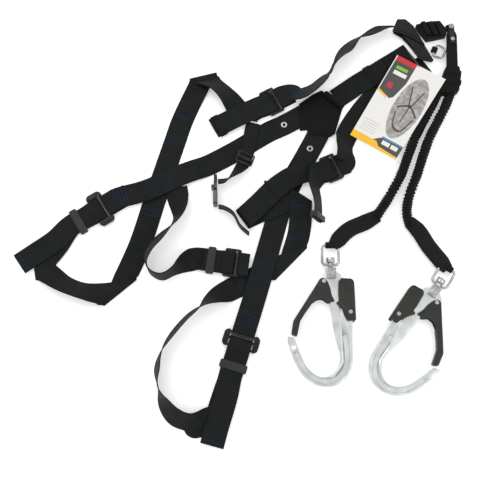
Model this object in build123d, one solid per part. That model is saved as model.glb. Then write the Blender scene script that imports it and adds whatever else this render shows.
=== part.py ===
from build123d import *
import os
from math import atan2, cos, degrees, hypot, pi, radians, sin, tan

# Fall-arrest harness laid out on a floor, in millimetres, +Z up, floor at Z = 0.
# The origin is on the floor below the middle of the laid-out harness.

# ---------------------------------------------------------------- driving dimensions
WEBBING_WIDTH = 43.0
CHEST_WIDTH = 27.0
WEBBING_THICK = 2.0
CURVE_STEPS = 3            # slices of webbing between two stations
HEM_STEPS = 4              # slices round a folded edge

GROUND = WEBBING_THICK / 2  # centre height of webbing that lies on the floor
LAYER = 2.6                # rise from one layer of webbing to the next
SECOND = GROUND + LAYER
THIRD = GROUND + 2 * LAYER
FOURTH = GROUND + 3 * LAYER

BAR_RADIUS = 2.4           # round bars of the buckles and adjusters
BAR_HEIGHT = 5.45          # their centre height
OVER_BAR = 9.6             # centre height of webbing that passes over a bar
FRAME_LOW, FRAME_HIGH = 3.05, 7.85
FIXED_BAR = -12.0          # bar places along the strap, from the buckle's centre
MIDDLE_BAR = -1.0
EDGE_START, EDGE_END = 10.5, 14.5
BUCKLE_SPAN = 68.0         # across the leg buckles
ADJUSTER_SPAN = 54.0
BAR_TRAVEL = 3.0
WINDOW = 46.0              # clear width for the webbing

KEEPER_UNDER, KEEPER_OVER = 3.2, 5.8
KEEPER_WIDTH = 51.0
KEEPER_LENGTH = 15.0
KEEPER_WALL = 1.6

LEG_RADIUS = 10.0          # crinkled elastic lanyard legs
HOOK_THICK = 10.0
CHEEK_GAP = 0.4            # between the hook body and its lever plates
PLATE = 2.0
LEVER_LIFT = 0.4           # between the gate plates and the lock lever plates
PIN_RADIUS = 2.5
PIN_CLEAR = 0.15

LEFT_BUCKLE = ((-272, 22), (-0.85, -0.527))
RIGHT_BUCKLE = ((-3, -231), (-0.294, -0.956))
LEFT_ADJUSTER = ((58, 244), (-0.88, -0.475))
RIGHT_ADJUSTER = ((172, 104), (-0.92, -0.392))
HIP_ADJUSTER = ((-20, -85), (-0.99, 0.14))
HIP_LIFT = LAYER            # the hip adjuster lies on the leg strap
LEFT_HOOK = ((164.2, -105.3), 0, 1)
RIGHT_HOOK = ((354.2, -140.4), -34.2, -1)


def along(buckle, distance, side=0.0):
    """The plan point at a distance along a buckle's strap, and to its side."""
    (x, y), (ux, uy) = buckle
    return x + distance * ux - side * uy, y + distance * uy + side * ux


def at(point, height, roll=0):
    """A station of webbing: plan point, centre height and roll about its run."""
    return point[0], point[1], height, roll


# ---------------------------------------------------------------- webbing
def unit(x, y):
    size = hypot(x, y)
    return x / size, y / size


def catmull(a, b, c, d, t):
    """One Catmull-Rom value between b and c."""
    square, cube = t * t, t * t * t
    return 0.5 * (2 * b + (c - a) * t + (2 * a - 5 * b + 4 * c - d) * square
                  + (3 * b - a - 3 * c + d) * cube)


def smooth(run, width):
    """Points of a run of webbing, rounded through its stations and kept above the floor."""
    first = tuple(2 * p - q for p, q in zip(run[0], run[1]))
    last = tuple(2 * p - q for p, q in zip(run[-1], run[-2]))
    padded = [first, *run, last]
    points = []
    for i in range(len(run) - 1):
        for step in range(CURVE_STEPS):
            t = step / CURVE_STEPS
            x, y, z, roll = (catmull(*values, t) for values in zip(*padded[i:i + 4]))
            lowest = GROUND + width / 2 * abs(sin(radians(roll)))
            points.append((x, y, max(z, lowest), roll))
    return [*points, tuple(run[-1])]


def crease(d1, d2, width):
    """Half of the folded edge where webbing turns from direction d1 to d2."""
    cx, cy = d1[0] + d2[0], d1[1] + d2[1]
    if hypot(cx, cy) < 0.05:
        cx, cy = -d1[1], d1[0]
    cx, cy = unit(cx, cy)
    half = width / 2 / abs(d1[0] * cy - d1[1] * cx)
    return cx * half, cy * half


def strap_sections(runs, width):
    """Slices (centre, half width, normal) of webbing made of runs joined by flat folds."""
    slices = []
    side = 1
    creases = []
    for before, after in zip(runs, runs[1:]):
        d1 = unit(before[-1][0] - before[-2][0], before[-1][1] - before[-2][1])
        d2 = unit(after[1][0] - after[0][0], after[1][1] - after[0][1])
        creases.append((d1, d2, crease(d1, d2, width)))
    for index, run in enumerate(runs):
        points = smooth(run, width)
        ends = []
        if index > 0:
            ends.append((points[0], creases[index - 1][1], creases[index - 1][2]))
        if index < len(creases):
            ends.append((points[-1], creases[index][0], creases[index][2]))
        for i, (x, y, z, roll) in enumerate(points):
            before, after = points[max(i - 1, 0)], points[min(i + 1, len(points) - 1)]
            tangent = Vector(*(q - p for p, q in zip(before[:3], after[:3]))).normalized()
            flat = Vector(-tangent.Y, tangent.X, 0).normalized() * side
            normal = tangent.cross(flat)
            angle = radians(roll)
            half = (flat * cos(angle) + normal * sin(angle)) * (width / 2)
            up = normal * cos(angle) - flat * sin(angle)
            for end, direction, (cx, cy) in ends:
                lean = cx * direction[0] + cy * direction[1]
                reach = 1.25 * abs(lean) + 1
                near = 1 - hypot(x - end[0], y - end[1]) / reach
                if near <= 0:
                    continue
                across = Vector(-direction[1], direction[0], 0) * side
                facing = 1 if Vector(cx, cy, 0).dot(across) > 0 else -1
                skew = Vector(*direction, 0) * (near * lean * facing)
                half = across * (width / 2) + skew if near > 0.999 else half + skew
                up = Vector(0, 0, side) if near > 0.999 else up
            slices.append((Vector(x, y, z), half, up))
        if index == len(creases):
            break
        d1, _, (cx, cy) = creases[index]
        out = Vector(*unit(cy, -cx), 0)
        if out.X * d1[0] + out.Y * d1[1] < 0:
            out = -out
        low, high = points[-1][2], runs[index + 1][0][2]
        rise = 1 if high > low else -1
        middle, radius = (low + high) / 2, abs(high - low) / 2
        half = slices[-1][1]
        for step in range(1, HEM_STEPS):
            angle = rise * (pi * step / HEM_STEPS - pi / 2)
            spoke = out * cos(angle) + Vector(0, 0, sin(angle))
            centre = Vector(points[-1][0], points[-1][1], middle) + spoke * radius
            slices.append((centre, half, spoke * (-side * rise)))
        side = -side
    return slices


def facet(*corners):
    return Face(Wire.make_polygon(corners, close=True))


def facets(a, b, c, d):
    """A flat four-sided face, or the two triangles of a twisted one."""
    normal = (b - a).cross(c - a)
    if normal.length > 1e-9 and abs((d - a).dot(normal.normalized())) < 1e-6:
        return [facet(a, b, c, d)]
    return [facet(a, b, c), facet(a, c, d)]


def strap(*runs, width=WEBBING_WIDTH, thick=WEBBING_THICK):
    """A closed strip of webbing with flat faces."""
    rings = []
    for centre, half, normal in strap_sections(runs, width):
        rise = normal * (thick / 2)
        rings.append((centre + half + rise, centre - half + rise,
                      centre - half - rise, centre + half - rise))
    faces = [facet(*rings[0]), facet(*rings[-1])]
    for ring, after in zip(rings, rings[1:]):
        for k in range(4):
            n = (k + 1) % 4
            faces += facets(ring[k], ring[n], after[n], after[k])
    return Solid(Shell(faces))


# ---------------------------------------------------------------- small shapes
def prism(points, low, high):
    """An upright prism on a plan outline."""
    outline = Polyline(*points, close=True)
    return extrude(Plane.XY.offset(low) * make_face(outline), amount=high - low)


def slab(buckle, start, end, span, low, high, side=0.0):
    """A block that lies square to a buckle's strap."""
    (_, _), (ux, uy) = buckle
    x, y = along(buckle, (start + end) / 2, side)
    place = Location((x, y, (low + high) / 2), (0, 0, degrees(atan2(uy, ux))))
    return place * Box(end - start, span, high - low)


def rod(start, end, radius):
    """A round bar between two points."""
    line = Vector(*end) - Vector(*start)
    plane = Plane(origin=start, z_dir=line)
    return extrude(plane * Circle(radius), amount=line.length)


def buckle_bar(buckle, place, half_span, radius=BAR_RADIUS):
    a = along(buckle, place, -half_span)
    b = along(buckle, place, half_span)
    return rod((*a, BAR_HEIGHT), (*b, BAR_HEIGHT), radius)


# ---------------------------------------------------------------- buckles, adjusters, keepers
def buckle_frame(buckle, span):
    """Two ears joined by the fixed round bar and the flat front edge."""
    ear = (span - WINDOW) / 2
    frame = buckle_bar(buckle, FIXED_BAR, WINDOW / 2 + ear / 2)
    frame += slab(buckle, EDGE_START, EDGE_END, WINDOW + ear, FRAME_LOW, FRAME_HIGH)
    for side in (-1, 1):
        middle = side * (WINDOW + ear) / 2
        plate = slab(buckle, -15.5, 15.5, ear, FRAME_LOW, FRAME_HIGH, middle)
        frame += fillet(plate.edges().filter_by(Axis.Z), ear * 0.42)
    return frame


def leg_buckle(buckle):
    """A leg buckle's frame, with grooves for the bar that slides in its ears."""
    frame = buckle_frame(buckle, BUCKLE_SPAN)
    groove = 3.0
    height = 2 * BAR_RADIUS + 0.6
    start, end = MIDDLE_BAR - BAR_RADIUS - 0.4, MIDDLE_BAR + BAR_RADIUS + BAR_TRAVEL + 0.4
    low, high = BAR_HEIGHT - height / 2, BAR_HEIGHT + height / 2
    frame -= slab(buckle, start, end, WINDOW + 2 * groove, low, high)
    bar = buckle_bar(buckle, MIDDLE_BAR, WINDOW / 2 + groove - 0.4)
    return frame, bar


def adjuster(buckle):
    """A plain adjuster: its middle bar is part of the frame."""
    span = WINDOW / 2 + 2
    return buckle_frame(buckle, ADJUSTER_SPAN) + buckle_bar(buckle, MIDDLE_BAR, span)


def keeper(buckle, place):
    """A flat moulded loop that holds a strap's end on the strap below."""
    low, high = KEEPER_UNDER - 3.0, KEEPER_OVER + 3.0
    start, end = place - KEEPER_LENGTH / 2, place + KEEPER_LENGTH / 2
    outer = slab(buckle, start, end, KEEPER_WIDTH, low, high)
    outer = fillet(outer.edges().filter_by(Axis.Z), 3)
    inner_width = KEEPER_WIDTH - 2 * KEEPER_WALL - 1
    inner = slab(buckle, start - 1, end + 1, inner_width, low + KEEPER_WALL, high - KEEPER_WALL)
    return outer - inner


# ---------------------------------------------------------------- snap hooks
# A hook is drawn about its clevis rivet: +Y to its eye, the lock lever on the +X side.
HOOK_SCALE = 1.07           # from the drawn outlines to the hook's size


def sized(points):
    """Plan points of the drawn hook at its real size."""
    return [(x * HOOK_SCALE, y * HOOK_SCALE) for x, y in points]


GATE_PIVOT, LOCK_PIVOT = sized([(-13, -15), (31, -69)])
BAIL_BAR_Y = 54.0
HOOK_HEIGHT = 11.0          # the hook's middle plane above the floor


def hook_place(hook):
    (x, y), turn, side = hook
    flip = Rotation(0, 180, 0) if side < 0 else Rotation(0, 0, 0)
    return Location((x, y, HOOK_HEIGHT), (0, 0, turn)) * flip


def hook_bail():
    """The wire eye: a straight bar in the webbing, two sides and a swivel boss."""
    wire = 2.5
    half, corner = 16.0, 7.0
    low, high = 16.0, BAIL_BAR_Y
    path = FilletPolyline((-half, low), (1 - half, high), (half - 1, high), (half, low),
                          radius=corner, close=True)
    section = Plane(origin=path @ 0, z_dir=path % 0) * Circle(wire)
    bail = sweep(section, path=path)
    boss = rod((0, 12.2, 0), (0, 19.8, 0), 5.0)
    return bail + boss - rod((0, 10, 0), (0, 22, 0), 3.2)


def hook_swivel():
    """The clevis block, its swivel post and the round head inside the bail."""
    block = Location((0, -0.5, 0)) * Box(18, 20, 19)
    block = fillet(block.edges().filter_by(Axis.Y), 1.5)
    slot = Location((0, -3.5, 0)) * Box(30, 16, HOOK_THICK + 0.3)
    post = rod((0, 9, 0), (0, 21, 0), 3.0)
    head = rod((0, 20.2, 0), (0, 29, 0), 8.0)
    hole = rod((0, -1, -12), (0, -1, 12), 3.5)
    return block - slot - hole + post + head


def hook_body():
    """The flat forged bow with its head, the lug of the gate and the lug of the lock lever."""
    bow_out = Spline(*sized([(34, -86), (33, -128), (32, -156), (22, -178), (5, -192),
                             (-15, -195), (-34, -190), (-53, -175), (-66, -153), (-76, -122),
                             (-77, -110)]))
    tip = Polyline(*sized([(-77, -110), (-66, -114), (-64, -117)]))
    bow_in = Spline(*sized([(-64, -117), (-58, -134), (-47, -159), (-33, -174), (-17, -179),
                            (0, -172), (10, -156), (11, -139), (3, -106), (-2, -63)]))
    head = Polyline(*sized([(-2, -63), (-4, -40), (-7, -27), (-18, -26), (-23, -15), (-18, -5),
                            (-8, 3), (8, 3), (17, -3), (19, -9), (14, -17), (13, -36), (22, -52),
                            (34, -62), (38, -74), (34, -86)]))
    face = make_face([bow_out, tip, bow_in, head])
    body = extrude(face, amount=HOOK_THICK / 2, both=True)
    body -= rod((0, -1, -12), (0, -1, 12), 3.5)
    for x, y in (GATE_PIVOT, LOCK_PIVOT):
        body -= rod((x, y, -12), (x, y, 12), PIN_RADIUS)
    return body


def lever_plates(outline, inner, outer, pivot):
    """The same plate above and below the hook body, bored for its pivot pin."""
    outline = sized(outline)
    plates = prism(outline, inner, outer) + prism(outline, -outer, -inner)
    return plates - rod((*pivot, -20), (*pivot, 20), PIN_RADIUS + PIN_CLEAR)


GATE_LOW = HOOK_THICK / 2 + CHEEK_GAP
GATE_HIGH = GATE_LOW + PLATE
LOCK_LOW = GATE_HIGH + LEVER_LIFT
LOCK_HIGH = LOCK_LOW + PLATE


def hook_gate():
    """The long gate lever: two plates at the pivot and the nose, solid down its arm."""
    plate = [(-19, -10), (-12, -9), (-6, -16), (-2, -28), (0, -40), (5, -50.5), (-7, -53),
             (-16, -46), (-25, -47), (-35, -54), (-46, -70), (-55, -84), (-61, -110.5),
             (-70.5, -107), (-67, -84)]
    arm = [(-35.5, -56), (-46, -70), (-55, -84), (-61, -110.5), (-70.5, -107), (-67, -84),
           (-47, -53)]
    return lever_plates(plate, GATE_LOW, GATE_HIGH, GATE_PIVOT) + prism(sized(arm), -GATE_HIGH, GATE_HIGH)


def hook_lock():
    """The lock lever: two plates and a web outside the spine, and a nose that stops the gate."""
    plate = [(13, -15), (17, -10), (35, -11), (39, -16), (40, -84), (26, -84), (14, -60), (12, -40)]
    web = [(37.2, -18), (39.2, -18), (39.6, -50), (37.2, -50)]
    nose = [(7, -53), (11, -50), (20, -51), (28, -60), (24, -72), (16, -64)]
    lever = lever_plates(plate, LOCK_LOW, LOCK_HIGH, LOCK_PIVOT)
    lever += prism(sized(web), -LOCK_HIGH, LOCK_HIGH)
    for low, high in ((GATE_LOW, LOCK_HIGH), (-LOCK_HIGH, -GATE_LOW)):
        lever += prism(sized(nose), low, high)
    return lever


def hook_pins():
    """The clevis rivet and the two pivot rivets, with their heads outside the lever plates."""
    pins = [rod((0, -1, -9.9), (0, -1, 9.9), 3.5)]
    for (x, y), height in ((GATE_PIVOT, GATE_HIGH), (LOCK_PIVOT, LOCK_HIGH)):
        head = height + 0.3
        pin = rod((x, y, -head), (x, y, head), PIN_RADIUS)
        pin += rod((x, y, head), (x, y, head + 0.9), PIN_RADIUS + 1.2)
        pin += rod((x, y, -head - 0.9), (x, y, -head), PIN_RADIUS + 1.2)
        pins.append(pin)
    return Compound(pins)


# ---------------------------------------------------------------- lanyard
LEFT_LEG = [(389, 264), (372, 229), (352, 195), (335, 162), (321, 128), (309, 95), (292, 63),
            (272, 31), (252, 2)]
RIGHT_LEG = [(415, 266), (400, 229), (380, 195), (363, 162), (350, 128), (339, 95), (325, 63),
             (314, 32), (312, 7), (318, -16)]


def turn_radii(points):
    """Each corner's arc: as large as its two runs allow."""
    radii = []
    for a, b, c in zip(points, points[1:], points[2:]):
        first, second = Vector(*b) - Vector(*a), Vector(*c) - Vector(*b)
        half_turn = radians(first.get_angle(second)) / 2
        radii.append(0.45 * min(first.length, second.length) / tan(half_turn))
    return radii


def leg(name, plan):
    """One round elastic leg, on straight runs joined by tangent arcs."""
    points = [(x, y, LEG_RADIUS) for x, y in plan]
    radii = turn_radii(points)
    path = FilletPolyline(*points, radius=radii)
    section = Plane(origin=points[0], z_dir=path % 0) * Circle(LEG_RADIUS - 0.1)
    tube = sweep(section, path=path)
    print(name, "length", round(path.length), "radii", [round(r) for r in radii],
          "volume ratio", round(tube.volume / (pi * (LEG_RADIUS - 0.1) ** 2 * path.length), 4))
    return tube


def sleeve(hook, stations, width):
    """The flat sewn end of a leg, with the round eye that the hook's bail passes through."""
    body = strap(stations, width=width, thick=9.0)
    place = hook_place(hook)
    eye = rod((-8.5, BAIL_BAR_Y, 0), (8.5, BAIL_BAR_Y, 0), 6.2)
    bore = rod((-12, BAIL_BAR_Y, 0), (12, BAIL_BAR_Y, 0), 3.0)
    clear = Location((0, BAIL_BAR_Y - 24, 0)) * Box(60, 40, 40)
    for side in (-1, 1):
        clear += Location((side * 29.5, BAIL_BAR_Y - 4, 0)) * Box(40, 30, 40)
    return body - place * clear + place * eye - place * bore


# ---------------------------------------------------------------- back plate and lanyard hardware
PAD_LOW, PAD_HIGH = 5.2, 8.2
PLATE_HIGH = 13.6
PACK_LOW, PACK_HIGH = 1.0, 15.0
RIDGE_HIGH = 22.0
RING_BAR = ((388, 356), (0.91, -0.415))     # middle of the ring's bar, and where its bow points
RING_HEIGHT = 9.0
RING_WIRE = 2.5
RING_HALF = 14.0
RING_DEPTH = 20.0
BOLT = (423, 406)
LINK_RIVET = (424, 378)
LINK_LOW, LINK_HIGH = 5.4, 13.6
CHEEK = 2.0


def dorsal_pad():
    """The stitched webbing pad behind the back plate."""
    return prism([(306, 396), (318, 421), (334, 420), (349, 405), (371, 358), (382, 334),
                  (356, 338), (336, 369), (322, 386)], PAD_LOW, PAD_HIGH)


def dorsal_plate():
    """The moulded back plate: a high upper leaf, a lower leaf and a slot between them."""
    upper = prism([(304, 398), (315, 424), (332, 424), (347, 409), (369, 364), (341, 382),
                   (322, 392)], PAD_HIGH, PLATE_HIGH)
    lower = prism([(322, 392), (341, 382), (369, 364), (384, 333), (380, 329), (356, 335),
                   (340, 366)], PAD_HIGH, PLATE_HIGH - 2)
    slot = prism([(340, 374), (363, 357), (365, 353), (338, 370)], PAD_HIGH - 1, PLATE_HIGH + 1)
    return upper + lower - slot


def dorsal_ring():
    """The D-ring: a straight bar and a round bow."""
    (x, y), (nx, ny) = RING_BAR
    turn = degrees(atan2(ny, nx))
    place = Location((x, y, RING_HEIGHT), (0, 0, turn))
    path = FilletPolyline((0, -RING_HALF), (0, RING_HALF), (RING_DEPTH, RING_HALF - 3),
                          (RING_DEPTH, 3 - RING_HALF), radius=6, close=True)
    section = Plane(origin=path @ 0, z_dir=path % 0) * Circle(RING_WIRE)
    return place * sweep(section, path=path)


def ring_loop():
    """The webbing loop that holds the D-ring's bar to the back plate."""
    (x, y), (nx, ny) = RING_BAR
    place = Location((x, y, RING_HEIGHT), (0, 0, degrees(atan2(ny, nx))))
    loop = Location((-1, 0, 0)) * Box(12, 12, 9)
    loop = fillet(loop.edges().filter_by(Axis.Y), 3)
    return place * (loop - rod((0, -20, 0), (0, 20, 0), RING_WIRE + 0.4))


def absorber_pack():
    """The folded tear webbing in its cover: a body with three cross ridges and an end loop."""
    body = prism([(352, 411), (378, 418), (401, 420), (414, 400), (412, 386), (373, 377),
                  (360, 395)], PACK_LOW, PACK_HIGH)
    for x in (368, 382, 396):
        ridge = prism([(x - 8, 413), (x + 1, 416), (x + 13, 387), (x + 4, 384)],
                      PACK_HIGH, RIDGE_HIGH)
        body += fillet(ridge.edges().filter_by(Axis.Z), 2)
    arm = prism([(408, 399), (414, 411), (421, 412), (421, 400)], LINK_LOW, LINK_HIGH)
    loop = rod((*BOLT, LINK_LOW), (*BOLT, LINK_HIGH), 6.5) + arm
    return body + loop - rod((*BOLT, 0), (*BOLT, 20), 3.2)


def shackle():
    """The bent steel strap that joins the absorber's end loop to the lanyard link."""
    cheek = prism([(417, 404), (418, 370), (430, 370), (429, 404)], 0, CHEEK)
    cheek += rod((*BOLT, 0), (*BOLT, CHEEK), 6.8)
    bores = rod((*BOLT, -1), (*BOLT, 30), 3.1) + rod((*LINK_RIVET, -1), (*LINK_RIVET, 30), 2.6)
    top = Location((0, 0, LINK_HIGH + 0.3)) * cheek
    bottom = Location((0, 0, LINK_LOW - 0.3 - CHEEK)) * cheek
    return Compound([top - bores, bottom - bores])


def shackle_pins():
    """The bolt through the absorber's loop, with its head and nut, and the rivet of the link."""
    low, high = LINK_LOW - 0.3 - CHEEK, LINK_HIGH + 0.3 + CHEEK
    bolt = rod((*BOLT, low - 2), (*BOLT, high + 2), 3.0)
    bolt += rod((*BOLT, high), (*BOLT, high + 2.5), 5.5)
    bolt += rod((*BOLT, low - 2), (*BOLT, low), 5.5)
    bolt -= rod((*BOLT, high + 1), (*BOLT, high + 4), 2.0)
    rivet = rod((*LINK_RIVET, low - 1), (*LINK_RIVET, high + 1), 2.5)
    rivet += rod((*LINK_RIVET, high), (*LINK_RIVET, high + 1), 4.0)
    rivet += rod((*LINK_RIVET, low - 1), (*LINK_RIVET, low), 4.0)
    return Compound([bolt, rivet])


def lanyard_link():
    """The flat covered webbing between the shackle and the knot of the two legs."""
    link = prism([(416, 397), (431, 397), (434, 388), (431, 315), (409, 315), (414, 388)],
                 LINK_LOW, LINK_HIGH)
    return link - rod((*LINK_RIVET, 0), (*LINK_RIVET, 20), 2.6)


def lanyard_junction():
    """The sewn lump where the two elastic legs leave the link."""
    lump = prism([(406, 314.5), (432, 314.5), (435, 298), (428, 262), (405, 257), (382, 262),
                  (381, 276), (396, 291)], 0.3, 21)
    return fillet(lump.edges().filter_by(Axis.Z), 4)


def junction_patch(low, high):
    """One leaf of the five-sided patch that the seat and back straps are sewn between."""
    return prism([(112, 240), (140, 261), (158, 270), (199, 233), (182, 178), (172, 171),
                  (130, 176), (127, 186), (113, 184)], low, high)


def patch_loop():
    """The stiff rolled loop along the patch's upper side."""
    return rod((163, 262, 11), (199, 230, 11), 4.5)


def eyelets():
    """The two washers in the seat straps."""
    rings = []
    for x, y, low in ((82, 196, 4.05), (132, 146, 3.4)):
        ring = rod((x, y, low), (x, y, low + 0.9), 6.0)
        rings.append(ring - rod((x, y, low - 1), (x, y, low + 2), 3.0))
    return Compound(rings)


def elastic_band(middle, run, low, high, span, length=15):
    """A flat elastic ring round webbing."""
    place = Location((*middle, (low + high) / 2), (0, 0, degrees(atan2(run[1], run[0]))))
    outer = Box(length, span, high - low)
    return place * (outer - Box(length + 5, span - 2.4, high - low - 2))


def tail_keeper():
    """The oval loop on the standing end of the right shoulder webbing."""
    outer = fillet(Box(15, 10, 51).edges().filter_by(Axis.Y), 3)
    inner = Box(12, 12, 48)
    return Location((141, 1, 26), (0, -24, -8)) * (outer - inner)


# ---------------------------------------------------------------- chest buckle and adjuster
CHEST_BUCKLE_X = -52.0


def chest_adjuster():
    """The three-bar slide of the left chest strap."""
    place = Location((4, 122, 6.2), (0, 9, 68))
    slide = fillet(Box(24, 34, 3.2).edges().filter_by(Axis.Z), 4)
    windows = Location((-6, 0, 0)) * Box(6, 28, 6) + Location((6, 0, 0)) * Box(6, 28, 6)
    return place * Location((0, 0, 8.2)) * (slide - windows)


def chest_tongue():
    """The standing bar end of the left chest strap: a plate with a cross head."""
    x = CHEST_BUCKLE_X
    plate = Location((x, 71, 14.2)) * Box(6, 30, 25)
    plate = fillet(plate.edges().filter_by(Axis.X), 3)
    window = Location((x, 78, 14.2)) * Box(8, 6, 19)
    hooks = Location((x - 5.2, 62, 14.2)) * Box(5, 6, 20)
    return plate - window + hooks


def chest_body():
    """The standing body of the chest buckle, with the window that the lever closes."""
    x = CHEST_BUCKLE_X
    body = Location((x, 41, 14.2)) * Box(8, 29, 27)
    body = fillet(body.edges().filter_by(Axis.X), 3)
    window = Location((x - 2, 43, 14.2)) * Box(6, 18, 18)
    slot = Location((x, 31, 14.2)) * Box(10, 5, 20)
    return body - window - slot


def chest_lever():
    """The thumb lever in the body's window, on a short standing pin."""
    x = CHEST_BUCKLE_X
    lever = Location((x - 3, 44.5, 14.2)) * Box(3, 14, 17)
    knuckle = rod((x - 2.2, 37.6, 5.8), (x - 2.2, 37.6, 22.6), 1.7)
    return lever + knuckle


# ---------------------------------------------------------------- tag
TAG = [(310, 341), (401, 283), (296, 119), (211, 174)]
TAG_THICK = 0.6
TAG_HOLE = (349, 311)


def tag_height(x, y):
    """The card leans: it lies on the lanyard on one side and near the floor on the other."""
    return 17 + (x - TAG[0][0]) * 0.102 + (y - TAG[0][1]) * 0.005


def tag_card():
    low = [Vector(x, y, tag_height(x, y)) for x, y in TAG]
    high = [point + Vector(0, 0, TAG_THICK) for point in low]
    faces = [*facets(*low), *facets(*high)]
    for i, j in ((0, 1), (1, 2), (2, 3), (3, 0)):
        faces += facets(low[i], low[j], high[j], high[i])
    return Solid(Shell(faces)) - rod((*TAG_HOLE, 10), (*TAG_HOLE, 40), 2.5)


def tag_string():
    """The thin string from the back plate down to the tag's hole."""
    path = FilletPolyline((331, 352, 13), (333, 346, 19), (340, 330, 24), (347.5, 318.5, 22.8),
                          radius=3)
    section = Plane(origin=path @ 0, z_dir=path % 0) * Circle(0.6)
    return sweep(section, path=path)


# ---------------------------------------------------------------- assembly
parts = {}

parts["seat_strap_left"] = strap(
    [at((122, 219), 2.8), at((82, 196), 2.8), at((48, 180), GROUND), at((-11, 143), GROUND),
     at((-63, 114), GROUND), at((-96, 100), 5.4), at((-125, 88), THIRD), at((-184, 60), THIRD),
     at(along(LEFT_BUCKLE, -42), 7.4), at(along(LEFT_BUCKLE, -26), OVER_BAR),
     at(along(LEFT_BUCKLE, FIXED_BAR), OVER_BAR)],
    [at(along(LEFT_BUCKLE, FIXED_BAR), GROUND), at(along(LEFT_BUCKLE, -60), GROUND)])

parts["seat_strap_right"] = strap(
    [at((154, 186), 2.9), at((143, 165), 2.9), at((130, 141), 1.6), at((119, 121), GROUND),
     at((91, 70), GROUND), at((71, 20), GROUND), at((61, -14), GROUND), at((52, -46), THIRD),
     at((36, -102), THIRD), at((22, -150), THIRD), at(along(RIGHT_BUCKLE, -42), 7.0),
     at(along(RIGHT_BUCKLE, -26), OVER_BAR), at(along(RIGHT_BUCKLE, FIXED_BAR), OVER_BAR)],
    [at(along(RIGHT_BUCKLE, FIXED_BAR), GROUND), at(along(RIGHT_BUCKLE, -60), GROUND)])

parts["front_strap_left"] = strap(
    [at((-57, 186), FOURTH), at((-15, 209), FOURTH), at((26, 229), FOURTH + 1),
     at(along(LEFT_ADJUSTER, 15), OVER_BAR + 0.6), at(along(LEFT_ADJUSTER, MIDDLE_BAR), OVER_BAR)],
    [at(along(LEFT_ADJUSTER, MIDDLE_BAR), GROUND), at(along(LEFT_ADJUSTER, 15), GROUND),
     at((27, 228), 5.0), at((1, 210), THIRD)],
    [at((1, 210), SECOND), at((-14, 236), 5, 8), at((-34, 261), 13, 30),
     at((-57, 282), 14, 32), at((-78, 297), GROUND)],
    [at((-78, 297), 9.0), at((-91, 270), 5.0), at((-106, 238), GROUND), at((-121, 200), GROUND),
     at((-131, 167), GROUND), at((-145, 121), GROUND), at((-158, 78), GROUND)])

parts["leg_strap_left"] = strap(
    [at((-158.2, 77.2), GROUND), at((-172, 30), GROUND), at((-192, -40), GROUND),
     at((-211, -90), GROUND), at((-221, -112), GROUND), at((-229, -139), GROUND)],
    [at((-229, -139), SECOND), at((-262, -143), 6.6, 14), at((-296, -139), 14.5, 36),
     at((-331, -126), 14.5, 36), at((-360, -107), 8.0, 17), at((-375, -97), GROUND + 0.8, 2),
     at((-390, -93), GROUND)],
    [at((-390, -93), SECOND), at((-374, -81), SECOND), at((-350, -50), SECOND),
     at(along(LEFT_BUCKLE, 66), KEEPER_UNDER), at(along(LEFT_BUCKLE, 34), KEEPER_UNDER),
     at(along(LEFT_BUCKLE, 16), GROUND), at(along(LEFT_BUCKLE, MIDDLE_BAR), GROUND)],
    [at(along(LEFT_BUCKLE, MIDDLE_BAR), OVER_BAR), at(along(LEFT_BUCKLE, 16), OVER_BAR),
     at(along(LEFT_BUCKLE, 34), KEEPER_OVER), at(along(LEFT_BUCKLE, 66), KEEPER_OVER),
     at((-355, -41), THIRD + 0.4), at((-385, -63), THIRD + 0.4), at((-419, -87), THIRD)])

parts["shoulder_strap_left"] = strap(
    [at((301, 402), 20, 60), at((284, 397), 22, 74), at((261, 391), 22, 82), at((230, 376), 20, 64),
     at((207, 352), 18, 50), at((190, 328), 21, 72), at((178, 309), 22.6, 90),
     at((164, 293), 20, 62), at((142, 272), 18, 52), at((117, 259), 15, 38),
     at((98, 261), 11, 12), at(along(LEFT_ADJUSTER, -26), OVER_BAR),
     at(along(LEFT_ADJUSTER, FIXED_BAR), OVER_BAR)],
    [at(along(LEFT_ADJUSTER, FIXED_BAR), GROUND), at(along(LEFT_ADJUSTER, -45), GROUND)])

parts["shoulder_strap_right"] = strap(
    [at((370, 329), GROUND), at((340, 309), GROUND), at((315, 292), GROUND),
     at((274, 266), GROUND), at((249, 242), GROUND), at((222, 206), GROUND),
     at((206, 178), GROUND), at((199, 156), 13, -32), at((199, 135), 15, -38),
     at(along(RIGHT_ADJUSTER, -28), 9.6, -8), at(along(RIGHT_ADJUSTER, FIXED_BAR), OVER_BAR)],
    [at(along(RIGHT_ADJUSTER, FIXED_BAR), GROUND), at(along(RIGHT_ADJUSTER, -34), GROUND)])

parts["front_strap_right"] = strap(
    [at((140, -5), 24.4, 66), at((143, 18), 24.4, 66), at((141, 42), 23, 62),
     at((137, 66), 24, 54), at((146, 89), 17, 26), at(along(RIGHT_ADJUSTER, 16), OVER_BAR + 1.4),
     at(along(RIGHT_ADJUSTER, MIDDLE_BAR), OVER_BAR)],
    [at(along(RIGHT_ADJUSTER, MIDDLE_BAR), GROUND), at(along(RIGHT_ADJUSTER, 18), GROUND),
     at((126, 96), 8.6), at((112, 93), FOURTH), at((89, 82), FOURTH), at((62, 62), FOURTH),
     at((32, 31), FOURTH + 2), at((5, 4), 14.0)],
    [at((5, 4), GROUND), at((22, 12), 2.8), at((38, 19), SECOND), at((60, 28), SECOND),
     at((112, 50), SECOND)],
    [at((112, 50), THIRD), at((111, 22), THIRD), at((110, -4), SECOND), at((106, -30), GROUND),
     at((98, -56), GROUND), at((90, -84), GROUND)],
    [at((90, -84), SECOND), at((61, -93), SECOND), at((38, -104), 2.4)])

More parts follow.
